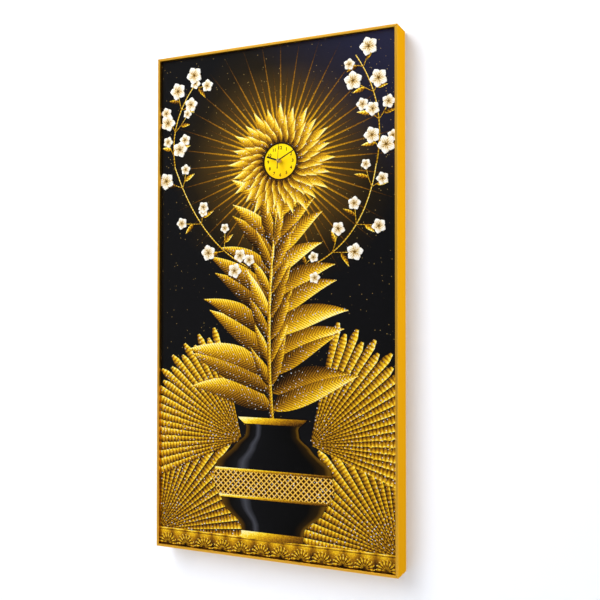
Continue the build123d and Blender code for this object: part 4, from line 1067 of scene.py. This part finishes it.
numeral_circle = 21.0 * MM
numeral_height = 5.3 * MM
ink_thickness = 0.04 * MM
hour_angle = 30
dial_axis = (dial_centre.x, dial_centre.z)
numeral_sheet = joined("dial_numerals", [
    numeral_mesh(str(hour), numeral_height,
                 step_from(dial_axis, hour_angle * hour, numeral_circle), dial_low.y, ink_thickness)
    for hour in range(1, 13)])
numeral_sheet.materials.append(screen_ink())
dial_numerals = place_object("dial_numerals", numeral_sheet)
fix_to_frame(dial_numerals)


# Bushing, nut and hand collets
# Turned brass: the threaded bushing and its slotted nut, sunk in the board, and the hands' sleeves.
# The lathe leaves rings round the shaft's line and the brass is left bright.

# Blender's wave texture turns through 20 radians in one unit of its scale
wave_radians = 20


def turned_brass():
    """Turned brass: pinkish yellow metal, bright, with fine rings from the lathe tool."""
    ring_pitch = 0.35 * MM
    tarnish_size = 2.5 * MM
    material, add = new_finish("turned_brass")
    place = add("TexCoord").outputs["Object"]
    flat = add("Mapping", Vector=place, Location=(-dial_centre.x, 0, -dial_centre.z))
    rings = add("TexWave", Vector=flat, Scale=2 * math.pi / (wave_radians * ring_pitch),
                Distortion=0.6, wave_type="RINGS", rings_direction="Y").outputs["Fac"]
    tarnish = add("TexNoise", Vector=place, Scale=1 / tarnish_size, Detail=3.0)
    tint = add("ValToRGB", Fac=tarnish, stops=((0.3, "#E6BE6C"), (0.7, "#F8E0A8")))
    polish = add("MapRange", Value=rings, To_Min=0.3, To_Max=0.44)
    relief = add("Bump", Height=rings, Strength=0.2, Distance=0.02 * MM)
    return surfaced(material, Base_Color=tint, Metallic=1.0, Roughness=polish, Normal=relief)


finish_nodes(turned_brass(), "bushing_nut", "threaded_bushing", "hour_hand_collet",
             "minute_hand_collet", "second_hand_cap")


# Movement case and lid
# Injection moulded black plastic tray and snap lid, sparked in the tool to a fine dull grain.
# The bushing's nut clamps the tray to the back of the board.

case_plastic = moulded_plastic("moulded_black_case", "#141416", "#1E1E21", grain_size=0.7 * MM,
                               roughness=0.5, grain_depth=0.05 * MM)
finish_nodes(case_plastic, "movement_case", "movement_cover")


# Marks on the movement's lid
# Raised in the mould with the lid: an arrow round the setting knob, the cell's poles, grip ribs.
# They stand a third of a millimetre proud and share the lid's grain.

lid_low, lid_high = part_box("movement_cover")
knob_low, knob_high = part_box("setting_knob")
cell_low, cell_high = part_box("battery")
mark_height = 0.35 * MM


def arc(centre, radius, first, last, steps=16):
    """Points along an arc of x and z, with angles in degrees from upright."""
    turns = [first + (last - first) * step / steps for step in range(steps + 1)]
    return [step_from(centre, turn, radius) for turn in turns]


def raise_mark(marks, centre, outline):
    """Adds a flat raised mark to the back of the lid, from its outline round a centre."""
    places = [(centre[0] + across, centre[1] + up) for across, up in outline]
    foot = [marks.verts.new((x, lid_high.y, z)) for x, z in places]
    crown = [marks.verts.new((x, lid_high.y + mark_height, z)) for x, z in places]
    marks.faces.new(crown)
    for place in range(len(outline)):
        after = (place + 1) % len(outline)
        marks.faces.new((foot[place], foot[after], crown[after], crown[place]))


def finish_marks(name, marks):
    """Closed plain mesh of the marks in the lid's plastic."""
    marks.normal_update()
    bmesh.ops.triangulate(marks, faces=[face for face in marks.faces if len(face.verts) > 4])
    bmesh.ops.recalc_face_normals(marks, faces=marks.faces[:])
    mesh = bpy.data.meshes.new(name)
    marks.to_mesh(mesh)
    marks.free()
    mesh.materials.append(case_plastic)
    return place_object(name, mesh)


def bar_outline(half_width, half_height):
    """Corners of an upright bar round its middle."""
    corners = ((-1, -1), (1, -1), (1, 1), (-1, 1))
    return [(across * half_width, up * half_height) for across, up in corners]


knob_centre = ((knob_low.x + knob_high.x) / 2, (knob_low.z + knob_high.z) / 2)
arrow_gap = 2.4 * MM
arrow_radius = (knob_high.x - knob_low.x) / 2 + arrow_gap
arrow_half = 0.4 * MM
arrow_head = 1.3 * MM
arrow_start, arrow_neck, arrow_tip = -120, 60, 78
pole_reach = 1.9 * MM
pole_half = 0.45 * MM
pole_inset, pole_rise = 5.0 * MM, 4.2 * MM
pole_height = lid_low.z + pole_rise
lid_marks = bmesh.new()
raise_mark(lid_marks, knob_centre, [
    *arc((0, 0), arrow_radius + arrow_half, arrow_start, arrow_neck),
    step_from((0, 0), arrow_neck, arrow_radius + arrow_head),
    step_from((0, 0), arrow_tip, arrow_radius),
    step_from((0, 0), arrow_neck, arrow_radius - arrow_head),
    *arc((0, 0), arrow_radius - arrow_half, arrow_neck, arrow_start)])
raise_mark(lid_marks, (cell_low.x + pole_inset, pole_height), bar_outline(pole_reach, pole_half))
raise_mark(lid_marks, (cell_high.x - pole_inset, pole_height), [
    (-pole_half, -pole_reach), (pole_half, -pole_reach), (pole_half, -pole_half),
    (pole_reach, -pole_half), (pole_reach, pole_half), (pole_half, pole_half),
    (pole_half, pole_reach), (-pole_half, pole_reach), (-pole_half, pole_half),
    (-pole_reach, pole_half), (-pole_reach, -pole_half), (-pole_half, -pole_half)])
movement_marks = finish_marks("movement_marks", lid_marks)
fix_to_frame(movement_marks)
rib_count = 8
rib_pitch = 2.6 * MM
rib_inset, rib_rise = 6 * MM, 2 * MM
rib_half_width, rib_half_height = 0.5 * MM, 8 * MM
first_rib = lid_high.x - rib_inset - (rib_count - 1) * rib_pitch
rib_middle = (lid_low.z + lid_high.z) / 2 + rib_rise
rib_marks = bmesh.new()
raise_mark(rib_marks, (0, 0), bar_outline(rib_half_width, rib_half_height))
lid_rib = finish_marks("lid_rib", rib_marks)
lid_ribs = grow("lid_ribs", row_of_pieces, piece=lid_rib, count=rib_count, step=rib_pitch, seed=4,
                first=(first_rib, 0, rib_middle), finish=case_plastic)
bpy.data.objects.remove(lid_rib)
fix_to_frame(lid_ribs)


# Bridge, gears and setting stem
# Wheels moulded in white and amber acetal, a bridge in grey plastic and an arbor of ground steel.
# They run between the tray and the bridge, which three small screws hold down.

for name, dark, light, grain_size, roughness, grain_depth, pieces in (
        ("moulded_white_acetal", "#D9D6C8", "#EDEAE0", 0.3 * MM, 0.4, 0.015 * MM,
         ("hour_wheel", "third_wheel", "motion_wheel", "rotor_pinion")),
        ("moulded_amber_acetal", "#B4792A", "#D09A48", 0.3 * MM, 0.38, 0.015 * MM,
         ("centre_wheel", "second_wheel", "intermediate_wheel")),
        ("moulded_grey_plastic", "#3A3B3E", "#4C4D51", 0.5 * MM, 0.46, 0.03 * MM,
         ("gear_bridge", "setting_stem", "setting_knob"))):
    finish_nodes(moulded_plastic(name, dark, light, grain_size, roughness, grain_depth), *pieces)
ground_steel = plated_steel("ground_steel", "#9EA0A4", "#D2D3D5", cloud_size=4 * MM, roughness=0.2)
finish_nodes(ground_steel, "second_arbor", "bridge_screws")


# Stepping motor
# A stator of stamped soft iron sheet goes round a sintered ring magnet and through the coil.
# The coil is wound in many turns of enamelled copper wire.

finish_nodes(plated_steel("annealed_iron_sheet", "#7C7B78", "#A7A6A2",
                          cloud_size=5 * MM, roughness=0.32), "stator_core")
finish_nodes(plated_steel("sintered_magnet", "#2B2C30", "#44464B",
                          cloud_size=1.2 * MM, roughness=0.48), "rotor_magnet")


def wound_copper():
    """Enamelled copper wire: orange metal in close round turns under clear varnish, darker between
    turns as painted shade.
    """
    # The real wire is about 0.05 mm thick; its turns are drawn coarser so that they show
    wire_pitch = 0.5 * MM
    material, add = new_finish("wound_copper_wire")
    place = add("TexCoord").outputs["Object"]
    turns = add("TexWave", Vector=place, Scale=2 * math.pi / (wave_radians * wire_pitch),
                Distortion=0.4, bands_direction="Z").outputs["Fac"]
    # Painted shade: darker stripes in the grooves between the turns
    tint = add("ValToRGB", Fac=turns, stops=((0.1, "#6E2E10"), (0.8, "#D9793A")))
    relief = add("Bump", Height=turns, Strength=0.6, Distance=0.15 * MM)
    return surfaced(material, Base_Color=tint, Metallic=1.0, Roughness=0.3, Coat_Weight=0.6,
                    Normal=relief)


finish_nodes(wound_copper(), "coil_winding")


# Circuit board
# Glass fibre board with green lacquer over etched copper, on two posts of the tray.
# It carries the drawn metal can of the quartz and the chip under a drop of black resin.


def lacquered_board():
    """Circuit board: glossy green lacquer, paler where copper tracks run beneath it."""
    track_pitch = 2.6 * MM
    material, add = new_finish("green_lacquered_board")
    place = add("TexCoord").outputs["Object"]
    tracks = add("TexBrick", Vector=place, Scale=1 / track_pitch, Mortar_Size=0.06,
                 Color1=linear("#0F4A26"), Color2=linear("#135530"),
                 Mortar=linear("#3C8A4E")).outputs
    relief = add("Bump", Height=tracks["Fac"], Strength=0.3, Distance=0.04 * MM)
    return surfaced(material, Base_Color=tracks["Color"], Roughness=0.28, Coat_Weight=0.4,
                    Normal=relief)


finish_nodes(lacquered_board(), "circuit_board")
finish_nodes(plated_steel("drawn_nickel_can", "#A6A49C", "#D6D3C8",
                          cloud_size=2.5 * MM, roughness=0.22), "quartz_can")
chip_resin = moulded_plastic("cast_black_resin", "#0A0A0B", "#141416", grain_size=0.9 * MM,
                             roughness=0.22, grain_depth=0.02 * MM)
finish_nodes(chip_resin, "control_chip")


# Battery and its contacts
# A round dry cell with a printed sleeve, shrunk over a steel can that shows bright at both ends.
# It lies across the tray's bay between two nickel plated strips.


def sleeved_cell():
    """Sleeved cell: gloss film in two plain colours, a pale ring between them, bare steel ends."""
    can_end = 0.98
    rim = 0.9 * MM / (cell_high.x - cell_low.x)
    far_rim = can_end - rim
    scuff_size = 1.6 * MM
    material, add = new_finish("sleeved_dry_cell")
    place = add("TexCoord").outputs["Object"]
    axes = add("SeparateXYZ", Vector=place).outputs
    share = add("MapRange", Value=axes["X"], From_Min=cell_low.x, From_Max=cell_high.x)
    bands = add("ValToRGB", Fac=share, stops=((0.0, "#B9BBBE"), (rim, "#26384E"), (0.66, "#D8D9DA"),
                                              (0.69, "#A43A24"), (far_rim, "#C4C6C8")))
    steel = add("ValToRGB", Fac=share, stops=((0.0, "#FFFFFF"), (rim, "#000000"),
                                              (far_rim, "#FFFFFF")))
    for ramp in (bands, steel):
        ramp.color_ramp.interpolation = "CONSTANT"
    scuff = add("TexNoise", Vector=place, Scale=1 / scuff_size, Detail=4.0)
    polish = add("MapRange", Value=scuff, To_Min=0.2, To_Max=0.36)
    return surfaced(material, Base_Color=bands, Metallic=steel, Roughness=polish, Coat_Weight=0.3,
                    Coat_Roughness=0.1)


finish_nodes(sleeved_cell(), "battery")
finish_nodes(plated_steel("nickel_plated_strip", "#9C9A92", "#CFCCC2",
                          cloud_size=3 * MM, roughness=0.24),
             "battery_contact_positive", "battery_contact_negative")


# Hands
# Stamped from thin aluminium sheet, flattened and lacquered: two black, the second hand dark olive.
# Each is riveted over its brass collet and pressed on its own tube of the shaft.


def lacquered_hand(name, dark, light):
    """Lacquered aluminium: smooth opaque colour, soft gloss, faint lines of the rolled sheet."""
    rolling_pitch = 0.5 * MM
    material, add = new_finish(name)
    place = add("TexCoord").outputs["Object"]
    lines = add("TexNoise", Vector=place, Scale=1 / rolling_pitch, Detail=2.0)
    tint = add("ValToRGB", Fac=lines, stops=((0.3, dark), (0.7, light)))
    polish = add("MapRange", Value=lines, To_Min=0.3, To_Max=0.42)
    return surfaced(material, Base_Color=tint, Roughness=polish, Specular_IOR_Level=0.2)


finish_nodes(lacquered_hand("black_lacquered_hand", "#0C0906", "#17120C"),
             "hour_hand", "minute_hand")
finish_nodes(lacquered_hand("olive_lacquered_hand", "#2C2306", "#40340A"), "second_hand")


# Studio, with a white wall just behind the clock and a pale floor below it, clear from behind
# A large soft lamp in front on the left gives the shadow, a small one above it the glints in metal.
# The room round them is bright, but darker straight ahead and below.

wall_gap = 1.0 * MM
wall_reach = 6.0
floor_drop = 1.2
floor_height = cad_box[0][2] - floor_drop


def pale_stage(name, shade, seen_glow, mirrored_glow):
    """Matt white paint with a glow for the camera and for metal, clear from behind and close by."""
    close_reach = 60 * MM
    material, add = new_finish(name)
    paint = add("BsdfDiffuse", Color=linear(shade))
    rays = add("LightPath").outputs
    mirrored = add("Math", rays["Is Glossy Ray"], rays["Is Transmission Ray"], operation="MAXIMUM")
    in_metal = add("Math", mirrored, mirrored_glow, operation="MULTIPLY")
    strength = add("Math", rays["Is Camera Ray"], seen_glow, in_metal, operation="MULTIPLY_ADD")
    white = add("Emission", Strength=strength)
    front = add("AddShader", paint, white)
    clear = add("BsdfTransparent")
    behind = add("NewGeometry").outputs["Backfacing"]
    close = add("Math", rays["Ray Length"], close_reach, operation="LESS_THAN")
    open_share = add("Math", behind, close, operation="MAXIMUM")
    surface = add("MixShader", open_share, front, clear)
    add("OutputMaterial", Surface=surface)
    return material


for name, near, far, paint in (
        ("studio_wall", (wall_gap, floor_height), (wall_gap, wall_reach),
         pale_stage("white_wall_paint", "#F1F4FC", seen_glow=0.07, mirrored_glow=0.5)),
        ("studio_floor", (-wall_reach, floor_height), (wall_gap, floor_height),
         pale_stage("pale_floor_paint", "#F2F2F0", seen_glow=0.06, mirrored_glow=0.0))):
    corners = [(-wall_reach, *near), (wall_reach, *near), (wall_reach, *far), (-wall_reach, *far)]
    sheet_mesh = bpy.data.meshes.new(name)
    sheet_mesh.from_pydata(corners, [], [(0, 1, 2, 3)])
    sheet_mesh.materials.append(paint)
    place_object(name, sheet_mesh)

room_level, ahead_level, below_share = 0.85, 0.16, 0.55
ahead_narrowness = 12.0
wall_side_gain = 0.3
world = bpy.data.worlds.new("soft_room")
bpy.context.scene.world = world
world.use_nodes = True
world.node_tree.nodes.clear()
add = partial(add_node, world.node_tree)
way = add("TexCoord").outputs["Generated"]
axes = add("SeparateXYZ", Vector=way).outputs
ahead = add("Math", axes["Y"], -1.0, operation="MULTIPLY")
ahead_only = add("Math", ahead, 0.0, operation="MAXIMUM")
ahead_share = add("Math", ahead_only, ahead_narrowness, operation="POWER")
room_light = add("MapRange", Value=ahead_share, To_Min=room_level, To_Max=ahead_level)
back_only = add("Math", axes["Y"], 0.0, operation="MAXIMUM")
all_round = add("Math", back_only, wall_side_gain, room_light, operation="MULTIPLY_ADD")
from_below = add("MapRange", Value=axes["Z"], From_Min=-0.7, From_Max=0.1, To_Min=below_share,
                 To_Max=1.0)
room_strength = add("Math", all_round, from_below, operation="MULTIPLY")
room_glow = add("Background", Strength=room_strength)
add("OutputWorld", Surface=room_glow)

lamp_aim = Vector((0, 0, frame_middle))
for name, place, size, energy, mirrored in (
        ("soft_lamp", Vector((-0.8, -2.0, 0.8)), 2.0, 39, False),
        ("glint_lamp", Vector((-0.8, -1.4, 1.5)), 1.0, 13, True)):
    lamp = bpy.data.lights.new(name, "AREA")
    lamp.shape = "DISK"
    lamp.size = size
    lamp.energy = energy
    lamp_stand = place_object(name, lamp)
    lamp_stand.visible_glossy = mirrored
    lamp_stand.location = place
    lamp_stand.rotation_euler = (lamp_aim - place).to_track_quat("-Z", "Y").to_euler()


# Camera
# It stands at the clock's height on the right, about 1.3 m away, and looks slightly upwards.
# No shift and no roll: the place and the lens come from the corners of the frame in the photograph.

camera_azimuth = math.radians(24.318)
camera_elevation = math.radians(-0.958)
camera = bpy.data.cameras.new("camera")
camera.sensor_width = 36.0
camera.lens = 49.61
camera_stand = place_object("camera", camera)
camera_stand.location = (0.56805, -1.18361, -0.39061)
look = Vector((-math.sin(camera_azimuth) * math.cos(camera_elevation),
               math.cos(camera_azimuth) * math.cos(camera_elevation), -math.sin(camera_elevation)))
camera_stand.rotation_euler = look.to_track_quat("-Z", "Y").to_euler()
bpy.context.scene.camera = camera_stand
bpy.context.scene.view_settings.view_transform = "Standard"
